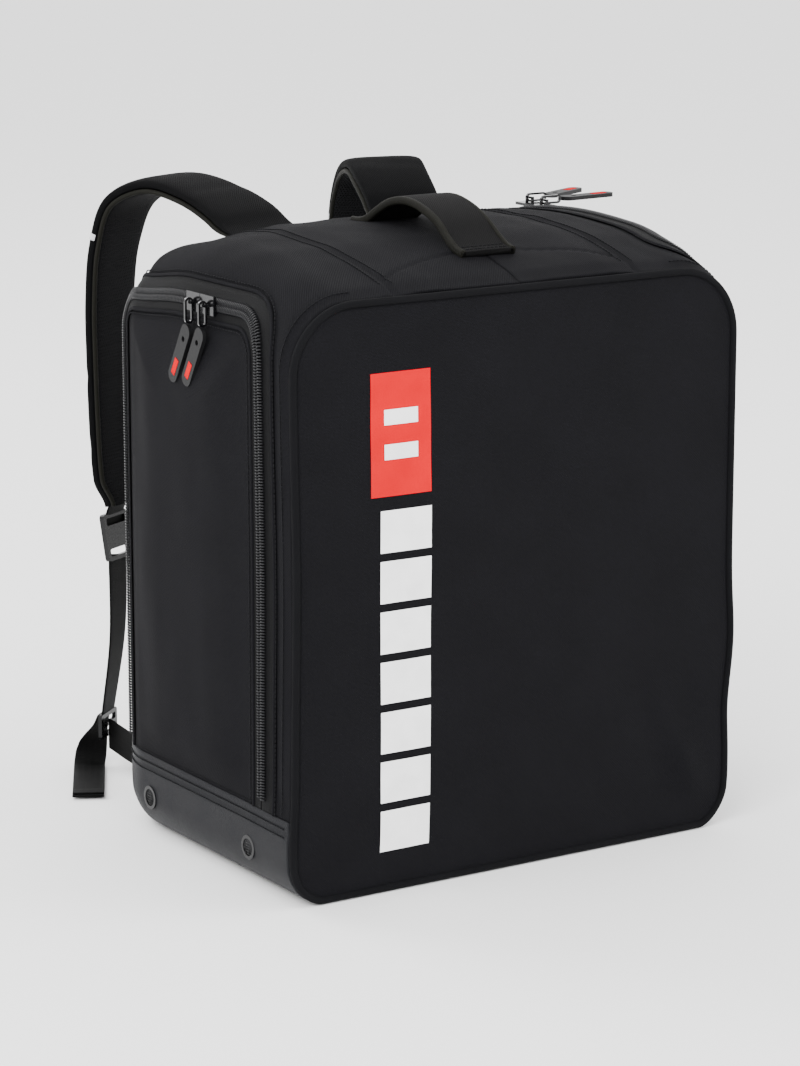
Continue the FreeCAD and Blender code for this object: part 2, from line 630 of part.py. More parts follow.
for name, side, points in (("left", -1, LEFT_STRAP), ("right", 1, RIGHT_STRAP)):
    places = frames(points)
    computed(name + "_strap_pad", ribbon(places, strap_width, mesh_high, pad_high))
    computed(name + "_strap_mesh", ribbon(places, strap_width - 4, mesh_low, mesh_high))
    computed(name + "_strap_keeper",
             ribbon([partway(places, 7, 0.02), partway(places, 7, 0.5)], webbing, pad_high + 0.1,
                    pad_high + 0.1 + 2 * tape))
    computed(name + "_reflective_strip",
             ribbon([partway(places, 4, 0.62), partway(places, 4, 0.8)], strap_width,
                    pad_high + 0.05, pad_high + 0.45))

    root_sizes = ("strap_width", "root_depth", "root_thickness")
    root_corner = (side * dim("root_side") - strap_width / 2,
                   dim("root_back") - dim("root_depth") / 2,
                   height + dim("root_rise") - dim("root_thickness") / 2)
    keep(name + "_strap_root", box(name + "_strap_root_block", root_sizes, root_corner))

    end, across, outward = places[-1]
    lock_centre = end + step(side, *LOCK_STEP, -dim("lock_drop"))
    buckle(name + "_ladder_lock", ("lock_width", "lock_length", "lock_thickness", "lock_slot"),
           ("frame_bar", "lock_length - frame_bar - lock_slot"), lock_centre, across, outward)
    top_of_lock = lock_centre + Vector(0, 0, dim("lock_length") / 2 + gap)
    computed(name + "_upper_webbing",
             ribbon([(end - Vector(0, 0, gap), across, outward), (top_of_lock, across, outward)],
                    webbing, -tape / 2, tape / 2))

    glide_yaw = math.radians(-side * dim("glide_yaw"))
    glide_across = Vector(math.cos(glide_yaw), math.sin(glide_yaw), 0)
    glide_outward = Vector(-math.sin(glide_yaw), math.cos(glide_yaw), 0)
    glide_centre = Vector(side * dim("glide_side"), end.y - dim("glide_forward"),
                          dim("glide_height"))
    buckle(name + "_tri_glide", ("glide_width", "glide_length", "glide_thickness", "glide_slot"),
           ("frame_bar", "glide_length - frame_bar - glide_slot"), glide_centre, glide_across,
           glide_outward)
    low_of_lock = lock_centre - Vector(0, 0, dim("lock_length") / 2 + gap)
    top_of_glide = glide_centre + Vector(0, 0, dim("glide_length") / 2 + gap)
    middle_drop = (low_of_lock + top_of_glide) / 2 + step(side, *WEBBING_BOW)
    computed(name + "_lower_webbing",
             ribbon([(low_of_lock, across, outward), (middle_drop, across, outward),
                     (top_of_glide, glide_across, glide_outward)], webbing, -tape / 2, tape / 2))

    upright = Vector(0, 0, 1)
    bag_end = Vector(side * dim("anchor_side"), half_depth + dim("anchor_gap"),
                     dim("anchor_height"))
    glide_end = glide_centre + step(side, *ANCHOR_END_STEP)
    sagging = (bag_end + glide_end) / 2 + step(side, *ANCHOR_SAG)
    computed(name + "_anchor_webbing",
             ribbon([(bag_end, upright, Vector(1, 0, 0)), (sagging, upright, Vector(1, 0, 0)),
                     (glide_end, upright, Vector(1, 0, 0))], webbing, -tape / 2, tape / 2))

    tail = [(glide_centre.x + side * away, glide_centre.y + back, up, -side * yaw)
            for away, back, up, yaw in TAIL]
    computed(name + "_webbing_tail", ribbon(frames(tail), webbing, -tape / 2, tape / 2))

# ---------------------------------------------------------------- checks and export

doc.recompute()
for thing in doc.Objects:
    if "Invalid" in thing.State or "Error" in thing.State:
        raise RuntimeError("%s did not recompute" % thing.Name)

os.makedirs("parts", exist_ok=True)
for label, thing in sorted(sub_parts.items()):
    shape = thing.Shape
    if shape.isNull() or not shape.isValid() or not shape.Solids:
        raise RuntimeError("%s has no valid solid" % label)
    shape.exportStep("parts/%s.step" % label)
print("%d sub-parts written" % len(sub_parts))
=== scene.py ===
"""A black ski boot backpack with a drop-down door on each side, on a plain pale floor.

Lengths here are in millimetres, in the CAD frame: +Z up, the front panel faces -Y and the
wearer's back is at +Y. mesh_piece() turns them into metres.
"""
import math

import bpy
import numpy as np
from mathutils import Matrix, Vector, noise


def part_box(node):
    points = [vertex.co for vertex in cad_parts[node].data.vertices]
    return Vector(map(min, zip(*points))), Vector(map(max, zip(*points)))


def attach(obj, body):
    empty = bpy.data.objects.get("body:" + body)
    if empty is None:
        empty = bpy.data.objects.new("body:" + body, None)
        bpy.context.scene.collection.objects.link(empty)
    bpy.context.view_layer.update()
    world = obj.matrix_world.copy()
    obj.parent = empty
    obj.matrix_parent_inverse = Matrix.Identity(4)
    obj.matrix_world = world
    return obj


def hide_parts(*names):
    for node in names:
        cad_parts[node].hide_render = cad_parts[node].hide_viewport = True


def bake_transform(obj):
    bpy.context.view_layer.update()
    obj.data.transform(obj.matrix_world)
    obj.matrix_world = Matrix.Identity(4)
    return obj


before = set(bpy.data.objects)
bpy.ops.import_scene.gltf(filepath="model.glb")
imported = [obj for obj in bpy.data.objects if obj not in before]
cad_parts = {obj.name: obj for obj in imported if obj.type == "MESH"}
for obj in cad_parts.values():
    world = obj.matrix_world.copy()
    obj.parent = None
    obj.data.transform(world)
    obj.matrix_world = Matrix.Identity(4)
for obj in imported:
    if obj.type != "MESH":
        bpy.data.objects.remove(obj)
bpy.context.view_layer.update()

MM = 0.001
ALONG_X, ALONG_Y, UP = np.eye(3)
SIDES = ((-1, "left"), (1, "right"))

# ---- camera

EYE = (-1.42177, -2.19140, 0.80942)
LOOK = (0.52758, 0.82083, -0.21883)
LENS = 119.8

camera = bpy.data.objects.new("camera", bpy.data.cameras.new("camera"))
camera.data.lens = LENS
camera.data.clip_end = 50
camera.location = EYE
camera.rotation_euler = Vector(LOOK).to_track_quat("-Z", "Y").to_euler()
bpy.context.scene.collection.objects.link(camera)
bpy.context.scene.camera = camera

# ---- the bag's own sizes

HALF_WIDTH = 192
FRONT = -140
BACK = 140
HEIGHT = 430
LOW_RADIUS = 30
TOP_RADIUS = 50
BASE_RISE = 62
SLEEVE_FRONT = -137
DOOR_FRONT = -98
DOOR_BACK = 112
DOOR_CORNER = 30
LEFT_DOOR_TOP = 418
TAPE_INNER = 12
TAPE_OUTER = 16

# y, side inset, top, bottom, top corner radius on the left and on the right
STATIONS = np.array([
    (-140, 0, 430, 0, 50, 50),
    (-95, 0, 441, 0, 48, 38),
    (-40, 0, 450, 0, 50, 30),
    (20, 0, 453, 0, 50, 30),
    (80, 0, 449, 0, 50, 30),
    (108, 7, 437, 1, 50, 34),
    (128, 24, 412, 6, 50, 40),
    (140, 52, 374, 18, 50, 50),
], float)


def hermite(first, last, leave, arrive, t):
    """A cubic from first to last, with these slopes at its ends."""
    return (first * (1 + 2 * t) * (1 - t) ** 2 + leave * t * (1 - t) ** 2
            + last * t * t * (3 - 2 * t) + arrive * t * t * (t - 1))


def monotone(x, xs, values):
    """A smooth curve through values at xs that never overshoots them."""
    step = np.diff(xs)
    slope = np.diff(values) / step
    tangent = np.empty(len(xs))
    tangent[0], tangent[-1] = slope[0], slope[-1]
    product = slope[:-1] * slope[1:]
    total = slope[:-1] + slope[1:]
    tangent[1:-1] = np.where(product > 0, 2 * product / np.where(total == 0, 1, total), 0)
    x = np.clip(np.asarray(x, float), xs[0], xs[-1])
    i = np.clip(np.searchsorted(xs, x, side="right") - 1, 0, len(step) - 1)
    t = (x - xs[i]) / step[i]
    return hermite(values[i], values[i + 1], tangent[i] * step[i], tangent[i + 1] * step[i], t)


def ramp(x, low, high):
    """0 below low, 1 above high, smooth between."""
    t = np.clip((np.asarray(x, float) - low) / (high - low), 0, 1)
    return t * t * (3 - 2 * t)


def hump(x, middle, width):
    """A smooth bump of height 1."""
    return np.exp(-((np.asarray(x, float) - middle) / width) ** 2)


def station(y, side):
    """Inset, top, bottom and top corner radius of the section at y, on one side."""
    column = [monotone(y, STATIONS[:, 0], STATIONS[:, k]) for k in range(1, 6)]
    return column[0], column[1], column[2], column[3] if side < 0 else column[4]


def side_marks(y, side):
    """Distances up the side: bottom middle, bottom arc, wall, top arc, top edge, top middle."""
    inset, top, bottom, radius = station(y, side)
    wall = bottom + LOW_RADIUS
    arc = wall - LOW_RADIUS * math.pi / 2
    corner = top - radius
    edge = corner + radius * math.pi / 2
    half = HALF_WIDTH - inset
    return arc - (half - LOW_RADIUS), arc, wall, corner, edge, edge + half - radius


def raw_side(side, y, w):
    """Point on the unstuffed bag at y, w up the side; w is the height where the wall is flat."""
    y, w = np.broadcast_arrays(np.asarray(y, float), np.asarray(w, float))
    inset, _, _, radius = station(y, side)
    _, arc, wall, corner, edge, _ = side_marks(y, side)
    half = HALF_WIDTH - inset
    over = np.clip((w - corner) / radius, 0, math.pi / 2)
    under = np.clip((wall - w) / LOW_RADIUS, 0, math.pi / 2)
    x = half - radius * (1 - np.cos(over)) - LOW_RADIUS * (1 - np.cos(under))
    x = x - np.maximum(w - edge, 0) - np.maximum(arc - w, 0)
    z = np.clip(w, wall, corner) + radius * np.sin(over) - LOW_RADIUS * np.sin(under)
    return np.stack([side * x, y, z], axis=-1)


def settle(points):
    """The slump and waviness that all of the bag's soft skin shares."""
    p = np.array(points, float)
    x, y, z = p[..., 0].copy(), p[..., 1].copy(), p[..., 2].copy()
    left_back = ramp(-x, 40, 160) * ramp(y, 10, 90) * ramp(z, 330, 440)
    p[..., 2] -= 8 * left_back
    right = ramp(x, 120, 190)
    front = ramp(-y, 60, 138)
    p[..., 0] += right * front * (3.0 * hump(z, 150, 34) - 1.6 * hump(z, 92, 24)
                                  - 2.5 * hump(z, 10, 18))
    left = ramp(-x, 120, 190)
    p[..., 0] += left * front * (2.2 * hump(z, 235, 90) - 2.0 * hump(z, 40, 30))
    top = ramp(z, 400, 440)
    p[..., 2] += top * 2.0 * np.cos(x * math.pi / 384) * ramp(y, -138, -60)
    return p


def side_point(side, y, w, lift=0.0):
    """Point on the settled skin, raised by lift along its outward normal, and that normal."""
    here, after_y, before_y, after_w, before_w = [
        settle(raw_side(side, np.asarray(y, float) + along, np.asarray(w, float) + up))
        for along, up in ((0, 0), (1, 0), (-1, 0), (0, 1), (0, -1))]
    normal = np.cross(after_y - before_y, after_w - before_w) * side
    normal /= np.linalg.norm(normal, axis=-1, keepdims=True)
    return here + normal * np.asarray(lift, float)[..., None], normal


# ---- finishes

class Graph:
    """A material's node tree with short ways to add nodes."""

    def __init__(self, name):
        self.material = bpy.data.materials.new(name)
        self.material.use_nodes = True
        self.tree = self.material.node_tree
        self.shader = self.tree.nodes["Principled BSDF"]

    def link(self, value, socket):
        """Put a number, a colour or another node's output into a socket."""
        if isinstance(value, bpy.types.NodeSocket):
            self.tree.links.new(value, socket)
        else:
            socket.default_value = value

    def maths(self, operation, first, second=0.0, third=0.0):
        """The output of a Math node."""
        node = self.tree.nodes.new("ShaderNodeMath")
        node.operation = operation
        for socket, value in zip(node.inputs, (first, second, third)):
            self.link(value, socket)
        return node.outputs[0]

    def times(self, first, second):
        """The product of two values."""
        return self.maths("MULTIPLY", first, second)

    def spread(self, value, amount, least):
        """A value from 0 to 1, brought to run from least to least + amount."""
        return self.maths("MULTIPLY_ADD", value, amount, least)

    def noise(self, where, scale, detail):
        """Noise from 0 to 1."""
        node = self.tree.nodes.new("ShaderNodeTexNoise")
        self.link(where, node.inputs["Vector"])
        node.inputs["Scale"].default_value = scale
        node.inputs["Detail"].default_value = detail
        return node.outputs["Fac"]

    def mix(self, share, first, second):
        """A number between two others."""
        node = self.tree.nodes.new("ShaderNodeMix")
        for socket, value in zip((node.inputs[0], node.inputs[2], node.inputs[3]),
                                 (share, first, second)):
            self.link(value, socket)
        return node.outputs[0]

    def ridge(self, value, pitch):
        """Rounded threads side by side, one for each pitch."""
        return self.maths("ABSOLUTE", self.maths("SINE", self.times(value, math.pi / pitch)))

    def cloth(self):
        """The piece's own UV in millimetres, whole and as its two parts."""
        where = self.tree.nodes.new("ShaderNodeTexCoord").outputs["UV"]
        parts = self.tree.nodes.new("ShaderNodeSeparateXYZ")
        self.link(where, parts.inputs[0])
        return where, parts.outputs[0], parts.outputs[1]

    def place(self):
        """The place in the frame in millimetres."""
        scale = self.tree.nodes.new("ShaderNodeVectorMath")
        scale.operation = "SCALE"
        self.link(self.tree.nodes.new("ShaderNodeTexCoord").outputs["Object"], scale.inputs[0])
        scale.inputs["Scale"].default_value = 1 / MM
        return scale.outputs[0]

    def finish(self, colour, tone, height, depth, roughness, specular):
        """Colour times tone, a bump of that depth in mm, a roughness and a specular level."""
        blend = self.tree.nodes.new("ShaderNodeVectorMath")
        blend.operation = "SCALE"
        blend.inputs[0].default_value = colour
        self.link(tone, blend.inputs["Scale"])
        self.link(blend.outputs[0], self.shader.inputs["Base Color"])
        self.link(roughness, self.shader.inputs["Roughness"])
        self.shader.inputs["Specular IOR Level"].default_value = specular
        node = self.tree.nodes.new("ShaderNodeBump")
        node.inputs["Strength"].default_value = 1.0
        node.inputs["Distance"].default_value = depth * MM
        self.link(height, node.inputs["Height"])
        self.link(node.outputs["Normal"], self.shader.inputs["Normal"])
        return self.material


def woven(name, colour, flecks, pitch=1.0):
    """Plain-woven cloth: warp and weft threads pass over each other."""
    graph = Graph(name)
    where, u, v = graph.cloth()
    cell = graph.maths("ADD", graph.maths("FLOOR", graph.maths("DIVIDE", u, pitch)),
                       graph.maths("FLOOR", graph.maths("DIVIDE", v, pitch)))
    over = graph.maths("ABSOLUTE", graph.maths("MODULO", cell, 2.0))
    height = graph.mix(over, graph.ridge(u, pitch), graph.ridge(v, pitch))
    fleck = graph.noise(where, 0.75 / pitch, 2.0)
    patch = graph.noise(where, 0.018, 4.0)
    # The tone follows the bump height: darker in the hollows between the threads and lighter on
    # their crests, painted shade and highlight; the flecks and patches are the cloth's own uneven
    # tone.
    tone = graph.times(graph.spread(fleck, 2 * flecks, 1 - flecks), graph.spread(height, 0.5, 0.7))
    tone = graph.times(tone, graph.spread(patch, 0.5, 0.75))
    return graph.finish(colour, tone, height, 0.25, graph.spread(fleck, 0.2, 0.72), 0.06)


def ribbed(name, colour, pitch=1.3):
    """Webbing, tape and binding: ribs across the strip."""
    graph = Graph(name)
    where, u, v = graph.cloth()
    slanted = graph.maths("ADD", v, graph.times(graph.ridge(u, 5.0), 0.8))
    height = graph.times(graph.ridge(slanted, pitch),
                         graph.spread(graph.ridge(u, pitch * 0.7), 0.4, 0.6))
    fleck = graph.noise(where, 0.9, 2.0)
    # The tone follows the rib height: darker in the grooves between the ribs, painted shade; the
    # flecks are the strip's own uneven tone.
    tone = graph.times(graph.spread(height, 0.6, 0.6), graph.spread(fleck, 0.6, 0.7))
    return graph.finish(colour, tone, height, 0.3, 0.6, 0.07)


def air_mesh(name, colour, pitch=2.6):
    """Open spacer mesh: staggered round holes in a knitted face."""
    graph = Graph(name)
    where, u, v = graph.cloth()
    row = graph.maths("DIVIDE", v, pitch)
    odd = graph.maths("MODULO", graph.maths("FLOOR", row), 2.0)
    shifted = graph.maths("ADD", graph.maths("DIVIDE", u, pitch), graph.times(odd, 0.5))
    across = graph.maths("SUBTRACT", graph.maths("FRACT", shifted), 0.5)
    along = graph.maths("SUBTRACT", graph.maths("FRACT", row), 0.5)
    distance = graph.maths("SQRT", graph.maths("ADD", graph.times(across, across),
                                               graph.times(along, along)))
    height = graph.maths("MINIMUM", graph.times(distance, 2.6), 1.0)
    knit = graph.noise(where, 1.5, 2.0)
    # The holes are painted down to a tenth of the colour: painted shade inside the holes; the knit
    # noise is the face's own uneven tone.
    tone = graph.times(graph.spread(height, 1.1, 0.1), graph.spread(knit, 0.5, 0.75))
    return graph.finish(colour, tone, height, 0.9, 0.85, 0.05)


def grained(name, colour):
    """Coated fabric with a fine leather grain."""
    graph = Graph(name)
    where = graph.place()
    cells = graph.tree.nodes.new("ShaderNodeTexVoronoi")
    cells.feature = "DISTANCE_TO_EDGE"
    cells.inputs["Scale"].default_value = 0.75
    graph.link(where, cells.inputs["Vector"])
    crease = graph.maths("MINIMUM", graph.times(cells.outputs["Distance"], 5.0), 1.0)
    wear = graph.noise(where, 0.03, 5.0)
    # The tone is darker along the grain's creases: painted shade in the creases; the slow noise is
    # the coating's own uneven wear.
    tone = graph.times(graph.spread(crease, 0.25, 0.8), graph.spread(wear, 0.5, 0.75))
    return graph.finish(colour, tone, crease, 0.12, graph.spread(wear, 0.2, 0.4), 0.10)


def moulded(name, colour, roughness, metallic=0.0, coat=0.0, speck=0.6, specular=0.25):
    """Smooth plastic, rubber or lacquered metal with a little unevenness."""
    graph = Graph(name)
    where = graph.place()
    fine = graph.noise(where, speck, 3.0)
    tone = graph.spread(graph.noise(where, 0.05, 3.0), 0.3, 0.85)
    graph.shader.inputs["Metallic"].default_value = metallic
    graph.shader.inputs["Coat Weight"].default_value = coat
    rough = graph.spread(fine, 0.14, roughness - 0.07)
    return graph.finish(colour, tone, fine, 0.05, rough, specular)


FABRIC = woven("black_polyester", (0.0048, 0.0047, 0.0058), flecks=0.85)
# A lighter copy of the same black polyester, for the handle on top: painted top light, standing in
# for the light that falls on upward faces.
PAINTED_TOP_LIGHT_FABRIC = woven("black_polyester_painted_top_light", (0.0062, 0.0060, 0.0062), flecks=0.85)
STRAP_FABRIC = woven("black_strap_cloth", (0.0014, 0.0014, 0.0017), flecks=0.8)
PIPING = woven("piping_cover", (0.0044, 0.0044, 0.0052), pitch=0.8, flecks=0.3)
BINDING = ribbed("olive_binding", (0.0070, 0.0068, 0.0050), pitch=0.9)
WEBBING = ribbed("harness_webbing", (0.0030, 0.0030, 0.0030))
TAPE = ribbed("zip_tape", (0.0030, 0.0030, 0.0034), pitch=0.8)
THREAD = moulded("thread", (0.0050, 0.0050, 0.0060), 0.7, specular=0.08)
COIL = moulded("zip_coil", (0.0060, 0.0060, 0.0070), 0.38, specular=0.2)
MESH = air_mesh("spacer_mesh", (0.0056, 0.0056, 0.0062))
LEATHER = grained("coated_base", (0.0050, 0.0052, 0.0068))
PLASTIC = moulded("buckle_plastic", (0.0035, 0.0035, 0.0040), 0.26, specular=0.22)
METAL = moulded("black_lacquered_metal", (0.006, 0.006, 0.007), 0.18, metallic=0.6, coat=0.4)
RUBBER = moulded("pull_rubber", (0.0050, 0.0050, 0.0055), 0.5, specular=0.16)
RED = moulded("red_print", (0.52, 0.0008, 0.0070), 0.8, specular=0.02)
WHITE = moulded("white_print", (0.86, 0.86, 0.86), 0.6)
REFLECTIVE = moulded("reflective_tape", (0.55, 0.55, 0.57), 0.3, speck=2.0)
BOARD = moulded("grey_board", (0.03, 0.03, 0.033), 0.6)

# ---- mesh tools


def mesh_piece(name, points, faces, uv, finish, slot, body, middle=None):
    """A mesh from millimetres that rides on a body. Faces turn away from middle, if given."""
    points = np.asarray(points, float).reshape(-1, 3)
    faces = [tuple(int(i) for i in face) for face in faces]
    if middle is not None:
        corner = points[np.array([face[:3] for face in faces])]
        normal = np.cross(corner[:, 1] - corner[:, 0], corner[:, 2] - corner[:, 0])
        if np.sum(normal * (corner.mean(axis=1) - np.array(middle))) < 0:
            faces = [face[::-1] for face in faces]
    mesh = bpy.data.meshes.new(name)
    mesh.from_pydata((points * MM).tolist(), [], faces)
    if uv is not None:
        corners = np.empty(len(mesh.loops), dtype=np.int32)
        mesh.loops.foreach_get("vertex_index", corners)
        layer = mesh.uv_layers.new(name="millimetres")
        layer.data.foreach_set("uv", np.asarray(uv, np.float32).reshape(-1, 2)[corners].ravel())
    mesh.polygons.foreach_set("use_smooth", [True] * len(mesh.polygons))
    mesh.materials.append(finish)
    mesh.update()
    piece = bpy.data.objects.new(name, mesh)
    bpy.context.scene.collection.objects.link(piece)
    if body:
        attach(piece, body)
    return piece


def grid_faces(rows, columns, keep=None):
    """Quads of a grid; keep says which cells stay."""
    index = np.arange(rows * columns).reshape(rows, columns)
    quads = np.stack([index[:-1, :-1], index[:-1, 1:], index[1:, 1:], index[1:, :-1]], axis=-1)
    quads = quads.reshape(-1, 4)
    return quads if keep is None else quads[np.asarray(keep).ravel()]


def compact(points, faces, uv):
    """Drop the points that no face uses."""
    used, inverse = np.unique(np.asarray(faces), return_inverse=True)
    return points.reshape(-1, 3)[used], inverse.reshape(-1, 4), uv.reshape(-1, 2)[used]


def thicken(piece, thickness):
    """Give a skin its thickness, inwards."""
    solid = piece.modifiers.new("thickness", "SOLIDIFY")
    solid.thickness = thickness * MM
    solid.offset = -1.0
    solid.use_even_offset = False


def soften(piece, width):
    """Round a piece's hard edges."""
    bevel = piece.modifiers.new("rounding", "BEVEL")
    bevel.width = width * MM
    bevel.segments = 3
    bevel.limit_method = "ANGLE"
    bevel.harden_normals = True


def lengths(path):
    """Distance travelled along a path."""
    step = np.linalg.norm(np.diff(path, axis=0), axis=1)
    return np.concatenate([[0], np.cumsum(step)])


def evenly(path, spacing):
    """A path's points resampled at even spacing; extra columns are carried along."""
    path = np.asarray(path, float)
    travelled = lengths(path[:, :3] if path.shape[1] > 2 else path)
    count = max(int(round(travelled[-1] / spacing)), 2) + 1
    at = np.linspace(0, travelled[-1], count)
    return np.stack([np.interp(at, travelled, path[:, k]) for k in range(path.shape[1])], axis=1)


def through(points, spacing):
    """A smooth curve through points, at even spacing; extra columns are carried along."""
    points = np.asarray(points, float)
    travelled = lengths(points[:, :3])
    tangent = np.gradient(points, travelled, axis=0)
    fine = []
    for i in range(len(points) - 1):
        gap = travelled[i + 1] - travelled[i]
        t = np.linspace(0, 1, 24, endpoint=False)[:, None]
        fine.append(hermite(points[i], points[i + 1], tangent[i] * gap, tangent[i + 1] * gap, t))
    fine.append(points[-1:])
    return evenly(np.concatenate(fine), spacing)


def rounded(width, low, high, power=4.0, count=28):
    """A soft-edged closed profile, width across and from low to high."""
    angle = np.linspace(0, 2 * math.pi, count, endpoint=False)
    across = np.sign(np.cos(angle)) * np.abs(np.cos(angle)) ** (2 / power) * width / 2
    rise = np.sign(np.sin(angle)) * np.abs(np.sin(angle)) ** (2 / power) * (high - low) / 2
    return np.stack([across, rise + (high + low) / 2], axis=1)


def swept(path, across, profile, widths=None, rises=None, ring=False):
    """Points, faces and UVs of a closed profile carried along a path; across may be one way."""
    path = np.asarray(path, float)
    tangent = np.roll(path, -1, 0) - np.roll(path, 1, 0) if ring else np.gradient(path, axis=0)
    tangent /= np.linalg.norm(tangent, axis=1, keepdims=True)
    across = np.broadcast_to(np.asarray(across, float), path.shape)
    across = across - tangent * np.sum(across * tangent, axis=1, keepdims=True)
    across /= np.linalg.norm(across, axis=1, keepdims=True)
    up = np.cross(across, tangent)
    n, m = len(path), len(profile)
    widths = np.ones(n) if widths is None else np.asarray(widths)
    rises = np.ones(n) if rises is None else np.asarray(rises)
    points = (path[:, None] + across[:, None] * (profile[None, :, 0] * widths[:, None])[..., None]
              + up[:, None] * (profile[None, :, 1] * rises[:, None])[..., None])
    index = np.arange(n * m).reshape(n, m)
    following = np.roll(index, -1, axis=0) if ring else index[1:]
    here = index if ring else index[:-1]
    faces = np.stack([here, np.roll(here, -1, 1), np.roll(following, -1, 1), following], -1)
    faces = faces.reshape(-1, 4).tolist()
    if not ring:
        faces += [index[0, ::-1].tolist(), index[-1].tolist()]
    uv = np.stack(np.broadcast_arrays(lengths(profile)[None, :], lengths(path)[:, None]), -1)
    return points.reshape(-1, 3), faces, uv.reshape(-1, 2)


def joined(parts):
    """Several (points, faces, uv) in one."""
    points, faces, uv = [], [], []
    start = 0
    for part_points, part_faces, part_uv in parts:
        points.append(part_points)
        uv.append(part_uv)
        faces += [[i + start for i in face] for face in part_faces]
        start += len(part_points)
    return np.concatenate(points), faces, np.concatenate(uv)


def strip(name, path, across, profile, finish, slot, body, **shape):
    """A swept piece."""
    return mesh_piece(name, *swept(path, across, profile, **shape), finish, slot, body)


STITCH_SPACING = 3.6
STITCH_LENGTH = 2.6
STITCH_LIFT = 0.25
STITCH_PROFILE = rounded(0.84, -0.42, 0.42, 2.0, 6)


def stitches(path, normals):
    """Thread lying in short runs along a path."""
    normals = np.broadcast_to(normals, path.shape)
    at = lengths(path)
    share = np.linspace(0, 1, 4)
    parts = []
    for i in range(int(at[-1] / STITCH_SPACING)):
        where = (i + 0.5) * STITCH_SPACING + (share - 0.5) * STITCH_LENGTH
        line, normal = [np.stack([np.interp(where, at, source[:, k]) for k in range(3)], 1)
                        for source in (path, normals)]
        line = line + normal * (STITCH_LIFT * np.sin(share * math.pi))[:, None]
        parts.append(swept(line, np.cross(np.gradient(line, axis=0), normal), STITCH_PROFILE))
    return joined(parts)


def crumple(points, scale, seed):
    """Smooth noise from -1 to 1 at each point."""
    flat = points.reshape(-1, 3) / scale + seed
    value = [noise.noise(Vector(p)) for p in flat.tolist()]
    return np.array(value).reshape(points.shape[:-1])


MIDDLE = (0, 0, 215)


def panel(name, x, y, z, finish, slot, settled=True):
    """A gridded panel of the bag, with its flat millimetres as UVs."""
    points = np.stack([x, y, z], -1)
    return mesh_piece(name, settle(points) if settled else points, grid_faces(*x.shape),
                      np.stack([x, z], -1), finish, slot, "bag", MIDDLE)


# ---- door outlines


def w_at_height(side, y, z):
    """How far up the side a height is."""
    _, top, _, radius = station(y, side)
    lean = np.clip((z - (top - radius)) / radius, 0, 1)
    return np.where(z < top - radius, z, top - radius + radius * np.arcsin(lean))


def w_at_width(y, x):
    """How far up the right side a place on the top is."""
    inset, top, _, radius = station(y, 1)
    inward = HALF_WIDTH - inset - x
    lean = np.clip(1 - inward / radius, 0, 1)
    edge = top - radius + radius * math.pi / 2
    return np.where(inward > radius, edge + inward - radius,
                    top - radius + radius * np.arccos(lean))


def top_run(side, y):
    """The zip's top run: level on the left, over the crown on the right."""
    if side < 0:
        return w_at_height(side, y, LEFT_DOOR_TOP)
    return w_at_width(y, 168 - 8 * ramp(y, -60, 100))


def door_path(side, spacing=2.0):
    """The zip's line as (y, w), from its bottom front end round to its bottom rear end."""
    corner = DOOR_CORNER
    front_top = float(top_run(side, DOOR_FRONT + corner))
    rear_top = float(top_run(side, DOOR_BACK - corner))
    angle = np.linspace(0, math.pi / 2, 14)
    rise = np.linspace(BASE_RISE + 1, front_top - corner, 60)
    fall = np.linspace(rear_top - corner, BASE_RISE + 1, 60)
    middle = np.linspace(DOOR_FRONT + corner, DOOR_BACK - corner, 50)
    front = np.stack([DOOR_FRONT + corner * (1 - np.cos(angle)),
                      front_top - corner + corner * np.sin(angle)], 1)
    rear = np.stack([DOOR_BACK - corner * (1 - np.sin(angle)),
                     rear_top - corner + corner * np.cos(angle)], 1)
    path = np.concatenate([np.stack([np.full(60, DOOR_FRONT), rise], 1)[:-1], front,
                           np.stack([middle, top_run(side, middle)], 1)[1:-1], rear,
                           np.stack([np.full(60, DOOR_BACK), fall], 1)[1:]])
    return evenly(path, spacing)


def outline_distance(side, y, w):
    """Distance inside the door's outline, negative outside it, and the nearest point of the zip."""
    path = door_path(side, spacing=5.0)
    place = np.stack([y.ravel(), w.ravel()], 1)
    best = np.full(len(place), 1e9)
    near = np.zeros((len(place), 2))
    inside = np.zeros(len(place), bool)
    loop = np.concatenate([path, path[:1]])
    for a, b in zip(loop[:-1], loop[1:]):
        crosses = (a[1] > place[:, 1]) != (b[1] > place[:, 1])
        if b[1] != a[1]:
            at = a[0] + (place[:, 1] - a[1]) * (b[0] - a[0]) / (b[1] - a[1])
            inside ^= crosses & (place[:, 0] < at)
    for a, b in zip(path[:-1], path[1:]):
        run = b - a
        t = np.clip(((place - a) @ run) / (run @ run), 0, 1)
        foot = a + t[:, None] * run
        distance = np.linalg.norm(place - foot, axis=1)
        closer = distance < best
        best[closer] = distance[closer]
        near[closer] = foot[closer]
    return np.where(inside, best, -best).reshape(y.shape), near.reshape(y.shape + (2,))


# ---- body shell and doors

ROWS = np.concatenate([np.linspace(SLEEVE_FRONT, -100, 13), np.linspace(-100, 100, 68)[1:],
                       np.linspace(100, BACK, 15)[1:]])


def side_columns(y, side):
    """Distances up the side for one row of the shell, from the base seam to the top middle."""
    corner, edge, high = side_marks(y, side)[3:]
    return np.concatenate([np.linspace(BASE_RISE, corner, 112)[:-1],
                           np.linspace(corner, edge, 26)[:-1], np.linspace(edge, high, 54)])


def top_seam(y):
    """Half width of the top panel, where its side seams run."""
    return 104 - 12 * ramp(y, 0, 92)


